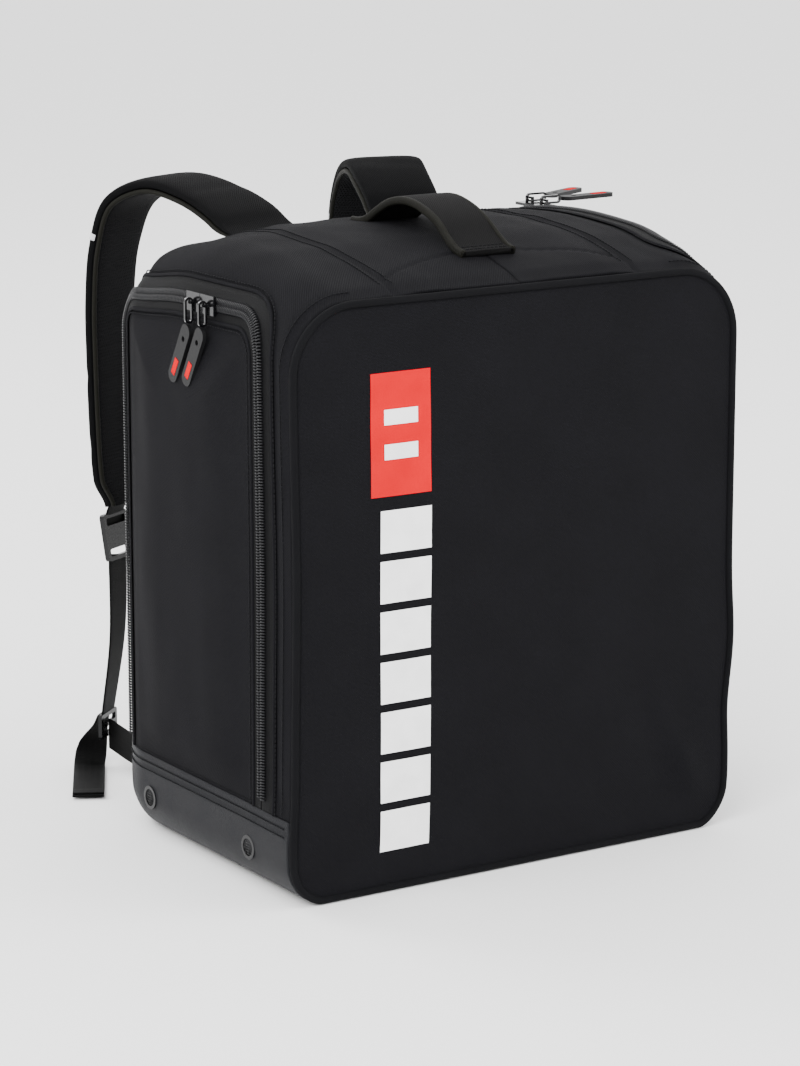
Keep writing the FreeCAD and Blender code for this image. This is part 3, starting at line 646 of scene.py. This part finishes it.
def seam_lines(points):
    """How far the skin is drawn in by the top's sewn seams."""
    x, y, z = points[..., 0], points[..., 1], points[..., 2]
    on_top = ramp(z, 405, 425)
    beside = np.abs(np.abs(x) - top_seam(y))
    across = np.abs(y - (-83 - 35 * (x / 105) ** 2))
    inside = ramp(top_seam(y) - np.abs(x), 0, 3)
    back = np.abs(y - 96)
    groove = 1.5 * hump(beside, 0, 2.2) + 1.2 * hump(across, 0, 2.0) * inside
    groove = groove + 1.5 * hump(back, 0, 2.4) * ramp(z, 300, 330)
    crown = 1.6 * ramp(beside, 2, 28) * inside
    return on_top * (crown - groove)


def nearest_to_outline(y, w, distance, nearest):
    """The grid points that lie closer to the outline than their neighbours across it."""
    across_y, across_w = np.abs(nearest[..., 0] - y), np.abs(nearest[..., 1] - w)
    length = np.maximum(np.hypot(across_y, across_w), 1e-9)
    spacing = np.maximum(across_y * np.gradient(y, axis=0), across_w * np.gradient(w, axis=1))
    return np.abs(distance) <= 0.5 * spacing / length


def skin(side, y, w, distance):
    """Points on the stuffed fabric and their normals; distance is from the door's outline."""
    points, normal = side_point(side, y, w)
    padding = 8 * ramp(distance, TAPE_INNER, 75) - 1.0 * hump(distance, TAPE_INNER, 2.5)
    gusset = 2.2 * ramp(-distance, TAPE_OUTER, 34) - 1.0 * hump(-distance, TAPE_OUTER, 2.5)
    lift = np.where(distance > 0, padding, gusset)
    foot = ramp(w, BASE_RISE, BASE_RISE + 30)
    lift = lift * foot * ramp(points[..., 1], SLEEVE_FRONT, SLEEVE_FRONT + 16)
    lift = lift * (1 - ramp(y, 116, BACK) * 0.6)
    ripple = crumple(points, np.array([60, 46, 150]), 3.1 + side) * 1.7
    ripple += crumple(points, np.array([26, 30, 60]), 8.4 + side) * 0.7
    loose = ramp(np.abs(distance), 13, 45) * foot
    lift = lift + ripple * loose + seam_lines(points)
    return points + normal * lift[..., None], normal


def topstitch(side, y, w):
    """Stitches along a line on the stuffed fabric."""
    points, normal = skin(side, y, w, outline_distance(side, y, w)[0])
    return stitches(points + normal * 0.2, normal)


for side, name in SIDES:
    y = np.repeat(ROWS[:, None], len(side_columns(0.0, side)), axis=1)
    w = np.stack([side_columns(row, side) for row in ROWS])
    distance, nearest = outline_distance(side, y, w)
    snap = nearest_to_outline(y, w, distance, nearest) & (w > BASE_RISE + 0.5)
    y = np.where(snap, nearest[..., 0], y)
    w = np.where(snap, nearest[..., 1], w)
    distance = np.where(snap, 0.0, distance)
    points, normal = skin(side, y, w, distance)
    uv = np.stack([y, w], -1)
    centre = distance[:-1, :-1] + distance[1:, :-1] + distance[:-1, 1:] + distance[1:, 1:]
    in_door = centre > 0
    gusset = mesh_piece(name + "_shell", *compact(points, grid_faces(*y.shape, ~in_door), uv),
                        FABRIC, "fabric", "bag", MIDDLE)
    thicken(gusset, 3.0)
    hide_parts(name + "_gusset")
    door = mesh_piece(name + "_door_panel", *compact(points, grid_faces(*y.shape, in_door), uv),
                      FABRIC, "fabric", name + "_door_leaf", MIDDLE)
    thicken(door, 5.0)
    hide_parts(name + "_door")
    if side < 0:
        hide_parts("top_panel")

# ---- front, back and base


def panel_grid(half, low, high, low_radius, top_left, top_right, step=3.0):
    """A regular grid over a rounded rectangle, as (x, z), corners pressed into their arcs."""
    us = np.linspace(-half, half, int(2 * half / step) + 1)
    vs = np.linspace(low, high, int((high - low) / step) + 1)
    x, z = [part.copy() for part in np.meshgrid(us, vs, indexing="ij")]
    for side, up, radius in ((-1, -1, low_radius), (1, -1, low_radius), (-1, 1, top_left),
                             (1, 1, top_right)):
        cx = side * (half - radius)
        cz = low + radius if up < 0 else high - radius
        a = (x - cx) * side / radius
        b = (z - cz) * up / radius
        corner = (a > 0) & (b > 0)
        round_a = np.where(corner, a * np.sqrt(np.maximum(1 - b * b / 2, 0)), a)
        round_b = np.where(corner, b * np.sqrt(np.maximum(1 - a * a / 2, 0)), b)
        x = np.where(corner, cx + side * radius * round_a, x)
        z = np.where(corner, cz + up * radius * round_b, z)
    return x, z


def border_distance(x, z, half, low, high, radius):
    """Distance inside a rounded rectangle."""
    a = np.abs(x) - (half - radius)
    b = np.abs(z - (low + high) / 2) - ((high - low) / 2 - radius)
    outside = np.sqrt(np.maximum(a, 0) ** 2 + np.maximum(b, 0) ** 2)
    return radius - outside - np.minimum(np.maximum(a, b), 0)


FRONT_HALF = HALF_WIDTH - 3


def front_depth(x, z):
    """Y of the front panel's padded face."""
    inside = border_distance(x, z, FRONT_HALF, 3, HEIGHT - 3, 47)
    crown = 4.5 * (1 - np.exp(-np.maximum(inside, 0) / 38))
    fold = 3.6 * hump(x - 150 + 0.55 * (z - 60), 0, 14) * ramp(x, 60, 140) * ramp(-z, -150, -40)
    second = 2.8 * hump(x - 118 + 0.35 * (z - 90), 0, 20) * ramp(x, 60, 120)
    fold = fold - second * ramp(-z, -190, -70)
    dip = 2.6 * hump(z, 112, 34) * ramp(x, 40, 160)
    place = np.stack([x, np.zeros_like(x), z], -1)
    ripple = 1.3 * crumple(place, 95.0, 1.7) + 0.5 * crumple(place, 38.0, 5.2)
    return FRONT - crown - (fold - dip + ripple) * ramp(inside, 2, 40)


x, z = panel_grid(FRONT_HALF, 3, HEIGHT - 3, LOW_RADIUS - 3, TOP_RADIUS - 3, TOP_RADIUS - 3)
front = panel("front_padding", x, front_depth(x, z), z, FABRIC, "fabric")
thicken(front, 6.0)
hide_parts("front_panel")

x, z = panel_grid(HALF_WIDTH - 52, 18, 374, LOW_RADIUS, 50, 50, 4.0)
back = panel("back_wall", x, np.full_like(x, BACK), z, FABRIC, "fabric")
thicken(back, 4.0)
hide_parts("back_panel")

PAD_HALF = 110
PAD_LOW = 78
PAD_HIGH = 368
x, z = panel_grid(PAD_HALF, PAD_LOW, PAD_HIGH, 30, 30, 30, 2.5)
inside = border_distance(x, z, PAD_HALF, PAD_LOW, PAD_HIGH, 30)
channel = hump(np.abs(x), 34, 4.0) + hump(np.abs(z - 223), 62, 4.0) * (np.abs(x) < 108)
pad_y = BACK + 1.5 + 6.5 * ramp(inside, 0, 14) - 3.5 * np.minimum(channel, 1) * ramp(inside, 6, 16)
pad = panel("back_mesh_padding", x, pad_y, z, MESH, "mesh", settled=False)
thicken(pad, 2.0)
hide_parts("back_mesh_pad")


def base_columns(y, side):
    """Distances up the side for one row of the base, from the bottom middle to the seam."""
    low, arc, wall = side_marks(y, side)[:3]
    return np.concatenate([np.linspace(low, arc, 24)[:-1], np.linspace(arc, wall, 16)[:-1],
                           np.linspace(wall, BASE_RISE + 1, 16)])


base_parts = []
for side in (-1, 1):
    y = np.repeat(ROWS[:, None], len(base_columns(0.0, side)), axis=1)
    w = np.stack([base_columns(row, side) for row in ROWS])
    points, normal = side_point(side, y, w)
    sag = crumple(points, np.array([50, 60, 30]), 6.6) * 0.8 * ramp(w, 5, 30)
    lift = 1.1 + sag * (1 - ramp(w, 50, 60)) - 0.8 * hump(w, BASE_RISE - 8, 2.0)
    points = points + normal * lift[..., None]
    points[..., 2] = np.maximum(points[..., 2], 0.0)
    faces = grid_faces(*y.shape)
    base_parts.append((points.reshape(-1, 3), (faces if side < 0 else faces[:, ::-1]).tolist(),
                       np.stack([y, w], -1).reshape(-1, 2)))
base = mesh_piece("base_cover", *joined(base_parts), LEATHER, "leather_look", "bag", MIDDLE)
thicken(base, 2.5)
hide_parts("base_panel")

# ---- piping and sewn lines


def rounded_outline(half, low, high, low_radius, top_radius, spacing=2.5):
    """A closed rounded rectangle as (x, z), from the middle of its bottom edge."""
    corners = [(half - low_radius, low + low_radius, low_radius, -90),
               (half - top_radius, high - top_radius, top_radius, 0),
               (-half + top_radius, high - top_radius, top_radius, 90),
               (-half + low_radius, low + low_radius, low_radius, 180)]
    points = [(0, low)]
    for cx, cz, radius, start in corners:
        for angle in np.radians(np.linspace(start, start + 90, 16)):
            points.append((cx + radius * math.cos(angle), cz + radius * math.sin(angle)))
    points.append((0, low))
    return evenly(points, spacing)[:-1]


outline = rounded_outline(HALF_WIDTH - 1.5, 1.5, HEIGHT - 1.5, LOW_RADIUS - 1, TOP_RADIUS - 1)
pipe = settle(np.stack([outline[:, 0], np.full(len(outline), FRONT + 0.4), outline[:, 1]], 1))
pipe[:, 2] = np.maximum(pipe[:, 2], 2.9)
piping = strip("front_piping_cord", pipe, ALONG_Y, rounded(5.6, -2.8, 2.8, 2.0, 12), PIPING,
               "piping", "bag", ring=True)
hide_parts("front_piping")

BASE_ROWS = (5.0, 11.0)
GUSSET_ROW = -127.0
ROOF_ROWS = (-5.0, 5.0)

sewn = []
for side in (-1, 1):
    for offset in BASE_ROWS:
        run = np.arange(-131, 118, 2.0)
        line, normal = side_point(side, run, np.full(len(run), BASE_RISE - offset), 1.4)
        sewn.append(stitches(line, normal))
mesh_piece("base_stitching", *joined(sewn)[:2], None, THREAD, "leather_look", "bag")

sewn = []
for side in (-1, 1):
    rise = np.arange(BASE_RISE + 4, 470, 2.0)
    line, normal = side_point(side, np.full(len(rise), GUSSET_ROW), rise, 1.5)
    sewn.append(stitches(line, normal))
mesh_piece("gusset_stitching", *joined(sewn)[:2], None, THREAD, "fabric", "bag")

sewn = []
for side in (-1, 1):
    run = np.arange(-122, 90, 2.0)
    inset, _, _, radius = station(run, side)
    edge = side_marks(run, side)[4]
    for beside in ROOF_ROWS:
        inward = HALF_WIDTH - inset - (top_seam(run) + beside)
        sewn.append(topstitch(side, run, edge + inward - radius))
mesh_piece("roof_stitching", *joined(sewn)[:2], None, THREAD, "fabric", "bag")

# ---- zips


TAPE_HEM = 1.5
TAPE_LANES = (0.5, 3.0, 6.0, 9.0)
TAPE_LIFTS = (0.9, 0.9, 0.8, 0.8, 0.9)
ZIP_STITCH_GAP = 3.4
COIL_PITCH = 2.1
COIL_RISE = {-1: 2.9, 1: 2.2}
COIL_ENDS = 4


def zip_lane(side, offset, lift, path=None):
    """Points and normals beside the zip's line: offset is positive towards the door's middle."""
    path = door_path(side) if path is None else path
    tangent = np.gradient(path, axis=0)
    tangent /= np.linalg.norm(tangent, axis=1, keepdims=True)
    inward = np.stack([tangent[:, 1], -tangent[:, 0]], 1)
    place = path + inward * offset
    return side_point(side, place[:, 0], place[:, 1], np.full(len(place), float(lift)))


def tape_grid(side, offsets, lifts):
    """Points, faces and UVs of a zip tape from one lane to another."""
    lanes = [zip_lane(side, offset, lift)[0] for offset, lift in zip(offsets, lifts)]
    points = np.stack(lanes, axis=1)
    along = lengths(points[:, 0])
    uv = np.stack(np.broadcast_arrays(np.array(offsets)[None, :], along[:, None]), -1)
    return points, grid_faces(*points.shape[:2]), uv


def coil(side, half):
    """The teeth of one zip half: short arched ribs across the line."""
    path = door_path(side, COIL_PITCH)
    if half > 0:
        path = path + np.gradient(path, axis=0) * 0.5
    near = zip_lane(side, -0.7 * half, 1.5, path=path)[0]
    rise = COIL_RISE[side]
    crest = zip_lane(side, 1.6 * half, rise, path=path)[0]
    bend = zip_lane(side, 3.6 * half, rise - 0.3, path=path)[0]
    far = zip_lane(side, 4.9 * half, 1.0, path=path)[0]
    along = np.gradient(near, axis=0)
    profile = rounded(1.35, -0.6, 0.6, 2.0, 6)
    parts = []
    for i in range(COIL_ENDS, len(path) - COIL_ENDS):
        line = np.stack([near[i], crest[i], bend[i], far[i]])
        parts.append(swept(line, along[i], profile))
    return joined(parts)


for side, name in SIDES:
    for half, body, node in ((-1, "bag", "_zip_frame_half"), (1, name + "_door_leaf",
                                                               "_zip_door_half")):
        edge = TAPE_INNER if half > 0 else TAPE_OUTER
        offsets = [half * value for value in TAPE_LANES + (edge + TAPE_HEM,)]
        tape = mesh_piece(name + node + "_tape", *tape_grid(side, offsets, TAPE_LIFTS), TAPE,
                          "zip", body, MIDDLE)
        thicken(tape, 0.7)
        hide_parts(name + node)
        mesh_piece(name + node + "_coil", *coil(side, half), COIL, "zip", body)
        line, normal = zip_lane(side, half * edge, 0.9)
        across = np.cross(np.gradient(line, axis=0), normal)
        strip(name + node + "_fold", line, across, rounded(3.0, -0.9, 0.9, 2.0, 10), FABRIC,
              "fabric", body)
        line, normal = zip_lane(side, half * (edge + ZIP_STITCH_GAP), 1.3)
        mesh_piece(name + node + "_stitching", *stitches(line, normal), THREAD, "zip", body)

# ---- carry handle

HANDLE = [(-97, 448.5), (-88, 450.5), (-78, 456), (-62, 467), (-42, 475), (-20, 478.6),
          (2, 475.5), (20, 467.5), (34, 459.5), (44, 456.8), (53, 456.6)]
HANDLE_ROWS = (-94, -89, 42, 49)
handle_line = through([(0, y, z) for y, z in HANDLE], 2.0)
middle_rise = ramp(handle_line[:, 2], 452, 472)
# The handle band takes the lighter copy of the black polyester: painted top light.
band = strip("handle_band", handle_line, ALONG_X, rounded(44, -2.2, 2.2, 5.0), PAINTED_TOP_LIGHT_FABRIC,
             "fabric", None, rises=1 + 0.5 * middle_rise, widths=1 - 0.06 * middle_rise)
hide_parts("carry_handle", "handle_front_foot", "handle_rear_foot")
edges = []
for sign in (-1, 1):
    line = handle_line + ALONG_X * (sign * (21.4 - 1.2 * middle_rise))[:, None]
    edges.append(swept(line, ALONG_X, rounded(4.2, -3.1, 3.1, 3.0, 14)))
binding = mesh_piece("handle_edge_binding", *joined(edges), BINDING, "binding", None)
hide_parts("handle_bindings")

sewn = []
for place in HANDLE_ROWS:
    height = float(np.interp(place, handle_line[:, 1], handle_line[:, 2])) + 2.3
    row = np.stack([np.linspace(-18, 18, 20), np.full(20, float(place)), np.full(20, height)], 1)
    sewn.append(stitches(row, UP))
foot_thread = mesh_piece("handle_foot_stitching", *joined(sewn)[:2], None, THREAD, "fabric", None)
for piece in (band, binding, foot_thread):
    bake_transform(piece)

# ---- shoulder harness

LEFT_STRAP = [(-67, 99, 443, 2), (-67.5, 108, 445, 3), (-68, 120, 448, 4), (-70, 138, 456, 6),
              (-78, 174, 468, 14), (-91, 216, 472, 20), (-106, 248, 456, 26),
              (-112, 262, 422, 30), (-114, 268, 380, 32), (-114, 268, 330, 32),
              (-114, 266, 285, 32), (-113, 262, 245, 30), (-110, 258, 214, 28)]
RIGHT_STRAP = [(67, 99, 443, -2), (67.5, 108, 445, -3), (68, 118, 449, -4), (70, 130, 460, -6),
               (74, 148, 471, -8), (82, 172, 479, -12), (94, 204, 470, -18),
               (102, 228, 440, -22), (108, 240, 400, -24), (110, 244, 350, -24),
               (110, 242, 295, -24), (107, 238, 250, -22), (103, 234, 216, -20)]
STRAP_WIDTH = 62
MESH_LOW = -6.8
MESH_HIGH = -3.2
PAD_TOP = 6.8
WEBBING_WIDTH = 25
WEBBING_HALF = 0.9
TAIL_CLEARANCE = 0.6
KEEPER_TOP = 326
KEEPER_POINTS = 18
FLASH_LOW = 427
FLASH_MIDDLE = 430
FLASH_HIGH = 434
FLAT_WEBBING = rounded(WEBBING_WIDTH, -WEBBING_HALF, WEBBING_HALF, 6.0)

# each loose tail: steps away from the bag's middle and back from the tri-glide's middle,
# height, and the webbing's yaw in degrees
TAIL = [(2.1, 2.5, 45, 40), (3.9, 4.6, 36, 32), (6.4, 7.7, 27, 15), (8.4, 10, 18, -5),
        (10, 10.5, 10, -20), (13.5, 6.5, 4.2, -28), (20, -5, 2.4, -29), (32, -27, 2.4, -29),
        (45, -51, 2.4, -29), (57, -73, 2.4, -29)]


def box_middle(node):
    """The middle of a CAD node's box, in millimetres."""
    low, high = [np.array(v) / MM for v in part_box(node)]
    return (low + high) / 2


def facing(yaw):
    """Width directions for yaw angles in degrees."""
    angle = np.radians(yaw)
    return np.stack([np.cos(angle), np.sin(angle), np.zeros_like(angle)], 1)


for side, name, stations in ((-1, "left", LEFT_STRAP), (1, "right", RIGHT_STRAP)):
    strap = name + "_strap"
    line = through(stations, 2.5)
    path, across = line[:, :3], facing(line[:, 3])
    travelled = lengths(path)
    total = travelled[-1]
    end_taper = 1 - 0.35 * ramp(travelled, total - 24, total)
    crease = 1 - 0.16 * hump(path[:, 2], 318, 5)
    crease = crease - 0.13 * hump(path[:, 2], 262, 6)
    crease = crease - 0.10 * hump(travelled, 74, 7)
    flat_root = 0.45 + 0.55 * ramp(travelled, 6, 34)
    pad = strip(strap + "_padding", path, across, rounded(STRAP_WIDTH, MESH_HIGH, PAD_TOP, 3.6, 36),
                STRAP_FABRIC, "fabric", None, widths=end_taper, rises=crease * flat_root)
    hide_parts(strap + "_pad", strap + "_root")
    liner = strip(strap + "_liner", path, across, rounded(STRAP_WIDTH - 5, MESH_LOW, MESH_HIGH + 1,
                                                          4.0, 30),
                  MESH, "mesh", None, widths=end_taper, rises=crease * flat_root)
    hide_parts(strap + "_mesh")
    hems = []
    for sign in (-1, 1):
        edge = path + across * (sign * (STRAP_WIDTH / 2 - 1.2) * end_taper)[:, None]
        hems.append(swept(edge, across, rounded(3.6, MESH_HIGH - 2.4, MESH_HIGH + 1.4, 2.4, 10),
                          rises=flat_root))
    hem = mesh_piece(strap + "_edging", *joined(hems), BINDING, "binding", None)
    for piece in (pad, liner, hem):
        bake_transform(piece)

    keeper_path = evenly(path[path[:, 2] < KEEPER_TOP], 2.0)[:KEEPER_POINTS]
    rise = 0.9 + 2.4 * np.sin(np.linspace(0, math.pi, len(keeper_path)))
    out = np.cross(across[-40], np.gradient(keeper_path, axis=0))
    out /= np.linalg.norm(out, axis=1, keepdims=True)
    keeper_path = keeper_path + out * (PAD_TOP + rise)[:, None]
    keeper = strip(name + "_keeper_loop", keeper_path, across[-40], FLAT_WEBBING, WEBBING,
                   "webbing", strap)
    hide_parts(name + "_strap_keeper")

    flash = evenly(path[(path[:, 2] < FLASH_HIGH) & (path[:, 2] > FLASH_LOW)], 1.5)
    flash_across = across[np.argmin(np.abs(path[:, 2] - FLASH_MIDDLE))]
    flash_piece = strip(name + "_reflective_band", flash, flash_across,
                        rounded(STRAP_WIDTH + 0.8, MESH_HIGH + 0.6, PAD_TOP + 0.5, 3.6, 36),
                        REFLECTIVE, "reflective", strap)
    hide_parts(name + "_reflective_strip")

    lock = box_middle(name + "_ladder_lock")
    glide = box_middle(name + "_tri_glide")
    lock_across = facing(np.array([stations[-1][3]]))[0]
    glide_across = facing(np.array([-side * 40.0]))[0]

    upper = through([path[-1] + UP * 8.0, lock + [0, 2.5, 16], lock + [0, 3.0, 4]], 2.0)
    upper_piece = strip(name + "_upper_strap_webbing", upper, lock_across, FLAT_WEBBING, WEBBING,
                        "webbing", strap)
    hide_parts(name + "_upper_webbing")

    start = lock + np.array([0, -2.5, -15.0])
    stop = glide + np.array([0, 0, 8.0])
    halfway = (start + stop) / 2 + np.array([-side * 2.0, -4.0, 0])
    drop = through([tuple(start) + (0,), tuple(halfway) + (0.5,), tuple(stop) + (1,)], 2.0)
    turn_share = drop[:, 3:4]
    drop_across = lock_across * (1 - turn_share) + glide_across * turn_share
    lower = strip(name + "_lower_strap_webbing", drop[:, :3], drop_across, FLAT_WEBBING, WEBBING,
                  "webbing", None)
    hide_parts(name + "_lower_webbing")
    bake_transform(lower)

    sewn_end = np.array([side * 134.0, BACK + 1.5, 30.0])
    free_end = glide + np.array([0, -3.0, -8.0])
    sag = (sewn_end + free_end) / 2 + np.array([side * 3.0, 0, -2.0])
    anchor = through([sewn_end, sag, free_end], 2.0)
    anchor_piece = strip(name + "_anchor_strap", anchor, UP, FLAT_WEBBING, WEBBING,
                         "webbing", "bag")
    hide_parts(name + "_anchor_webbing")

    tail = through([(glide[0] + side * away, glide[1] + back, up, -side * yaw)
                    for away, back, up, yaw in TAIL], 2.0)
    hem_line = tail[-7:-1]
    points, faces, uv = joined([
        swept(tail[:, :3], facing(tail[:, 3]), FLAT_WEBBING),
        swept(hem_line[:, :3] + UP * 1.5, facing(hem_line[:, 3]),
              rounded(WEBBING_WIDTH - 0.4, -WEBBING_HALF, WEBBING_HALF, 6.0))])
    points[:, 2] = np.maximum(points[:, 2], TAIL_CLEARANCE)
    tail_piece = mesh_piece(name + "_loose_tail", points, faces, uv, WEBBING, "webbing", "bag")
    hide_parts(name + "_webbing_tail")

# ---- printed marks on the front


def front_print(name, node, x0, x1, z0, z1, finish, slot, lift=0.35):
    """A thin printed shape that follows the padded front."""
    us = np.linspace(x0, x1, max(int((x1 - x0) / 2), 3))
    vs = np.linspace(z0, z1, max(int((z1 - z0) / 2), 3))
    x, z = np.meshgrid(us, vs, indexing="ij")
    piece = panel(name, x, front_depth(x, z) - lift, z, finish, slot)
    if node:
        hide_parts(node)


patch_low, patch_high = [np.array(v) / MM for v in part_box("front_patch")]
stripe_low, stripe_high = [np.array(v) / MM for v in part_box("front_stripe")]
front_print("red_patch", "front_patch", patch_low[0], patch_high[0], patch_low[2], patch_high[2],
            RED, "print_red")
PATCH_BAR = 11.0
PATCH_BARS = (0.36, 0.64)
for index, share in enumerate(PATCH_BARS):
    foot = patch_low[2] + (patch_high[2] - patch_low[2]) * share - PATCH_BAR / 2
    front_print("patch_bar_%d" % index, None, patch_low[0] + 11, patch_high[0] - 11, foot,
                foot + PATCH_BAR, WHITE, "print_white", 0.6)
BLOCKS = 7
BLOCK_GAP = 6.0
block = (stripe_high[2] - stripe_low[2] + BLOCK_GAP) / BLOCKS
for index in range(BLOCKS):
    foot = stripe_low[2] + index * block
    front_print("white_block_%d" % index, "front_stripe" if index == 0 else None, stripe_low[0],
                stripe_high[0], foot, foot + block - BLOCK_GAP, WHITE, "print_white")

# ---- finishes of the CAD pieces

KEPT = {"base_board": (BOARD, 0.8)}
for name in ("left", "right"):
    KEPT[name + "_vent_rings"] = (PLASTIC, 0.5)
    KEPT[name + "_vent_grilles"] = (PLASTIC, 0.1)
    KEPT[name + "_ladder_lock"] = (PLASTIC, 0.9)
    KEPT[name + "_tri_glide"] = (PLASTIC, 0.8)
    for end in ("_front", "_rear"):
        KEPT[name + end + "_slider"] = (METAL, 0.6)
        KEPT[name + end + "_link"] = (METAL, 0.4)
        KEPT[name + end + "_pull"] = (RUBBER, 0.6)
for node, (finish, width) in KEPT.items():
    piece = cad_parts[node]
    piece.data.materials.clear()
    piece.data.materials.append(finish)
    soften(piece, width)

# ---- vent lattices and pull bars

VENTS = (-78, 68)
VENT_HEIGHT = 30
VENT_REACH = 6.2
WIRE = rounded(0.7, -0.35, 0.35, 2.0, 6)
for side, name in SIDES:
    wires = []
    for along in VENTS:
        for offset in np.arange(-5.0, 5.1, 2.0):
            half = math.sqrt(VENT_REACH ** 2 - offset ** 2)
            for turned in (False, True):
                ends = np.array([(offset, -half), (offset, 0), (offset, half)])
                ends = ends[:, ::-1] if turned else ends
                line = np.stack([np.full(3, side * (HALF_WIDTH + 1.3)), along + ends[:, 0],
                                 VENT_HEIGHT + ends[:, 1]], 1)
                wires.append(swept(line, ALONG_X, WIRE))
    mesh_piece(name + "_vent_lattice", *joined(wires)[:2], None, PLASTIC,
               "buckle_plastic", "bag")


def corners_of(node):
    """A CAD node's points in millimetres."""
    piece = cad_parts[node]
    return np.array([piece.matrix_world @ v.co for v in piece.data.vertices]) / MM


PULL_BAR = 13.0
PULL_BAR_WIDTH = 5.0
PULL_BAR_REACH = 12.0
for label in ("left_front", "left_rear", "right_front", "right_rear"):
    points = corners_of(label + "_pull")
    centre = (points.max(axis=0) + points.min(axis=0)) / 2
    along, wide, out = np.linalg.svd(points - points.mean(axis=0), full_matrices=False)[2]
    along = along * np.sign(np.dot(along, centre - corners_of(label + "_link").mean(axis=0)))
    out = out * np.sign(np.dot(out, centre - np.array(MIDDLE)))
    thick = np.abs((points - centre) @ out).max()
    middle = centre + along * PULL_BAR_REACH + out * thick
    line = middle + along * np.linspace(-PULL_BAR / 2, PULL_BAR / 2, 6)[:, None]
    strip(label + "_pull_bar", line, wide,
          rounded(PULL_BAR_WIDTH, -0.35, 0.35, 5.0, 16), RED, "print_red", label + "_pull_body")

# ---- floor and light

bpy.ops.mesh.primitive_plane_add(size=30, location=(0, 0, -0.0005))
floor = bpy.context.object
floor.name = "floor"
floor_graph = Graph("pale_floor")
floor_graph.shader.inputs["Base Color"].default_value = (0.93, 0.93, 0.93, 1)
floor_graph.shader.inputs["Roughness"].default_value = 0.7
floor.data.materials.append(floor_graph.material)

world = bpy.data.worlds.new("studio")
world.use_nodes = True
world.node_tree.nodes["Background"].inputs["Color"].default_value = (1, 1, 1, 1)
world.node_tree.nodes["Background"].inputs["Strength"].default_value = 2.1
bpy.context.scene.world = world


def soft_light(name, place, aim, size, power):
    """A large square lamp."""
    lamp = bpy.data.objects.new(name, bpy.data.lights.new(name, "AREA"))
    lamp.data.size = size
    lamp.data.energy = power
    lamp.location = place
    lamp.rotation_euler = (Vector(aim) - Vector(place)).to_track_quat("-Z", "Y").to_euler()
    bpy.context.scene.collection.objects.link(lamp)


soft_light("key", (-2.2, -1.6, 2.2), (0, 0, 0.2), 1.6, 110)
soft_light("fill", (2.4, -1.8, 1.6), (0, 0, 0.2), 1.8, 45)
soft_light("rim", (-1.0, 2.4, 2.4), (0, 0, 0.3), 1.6, 60)
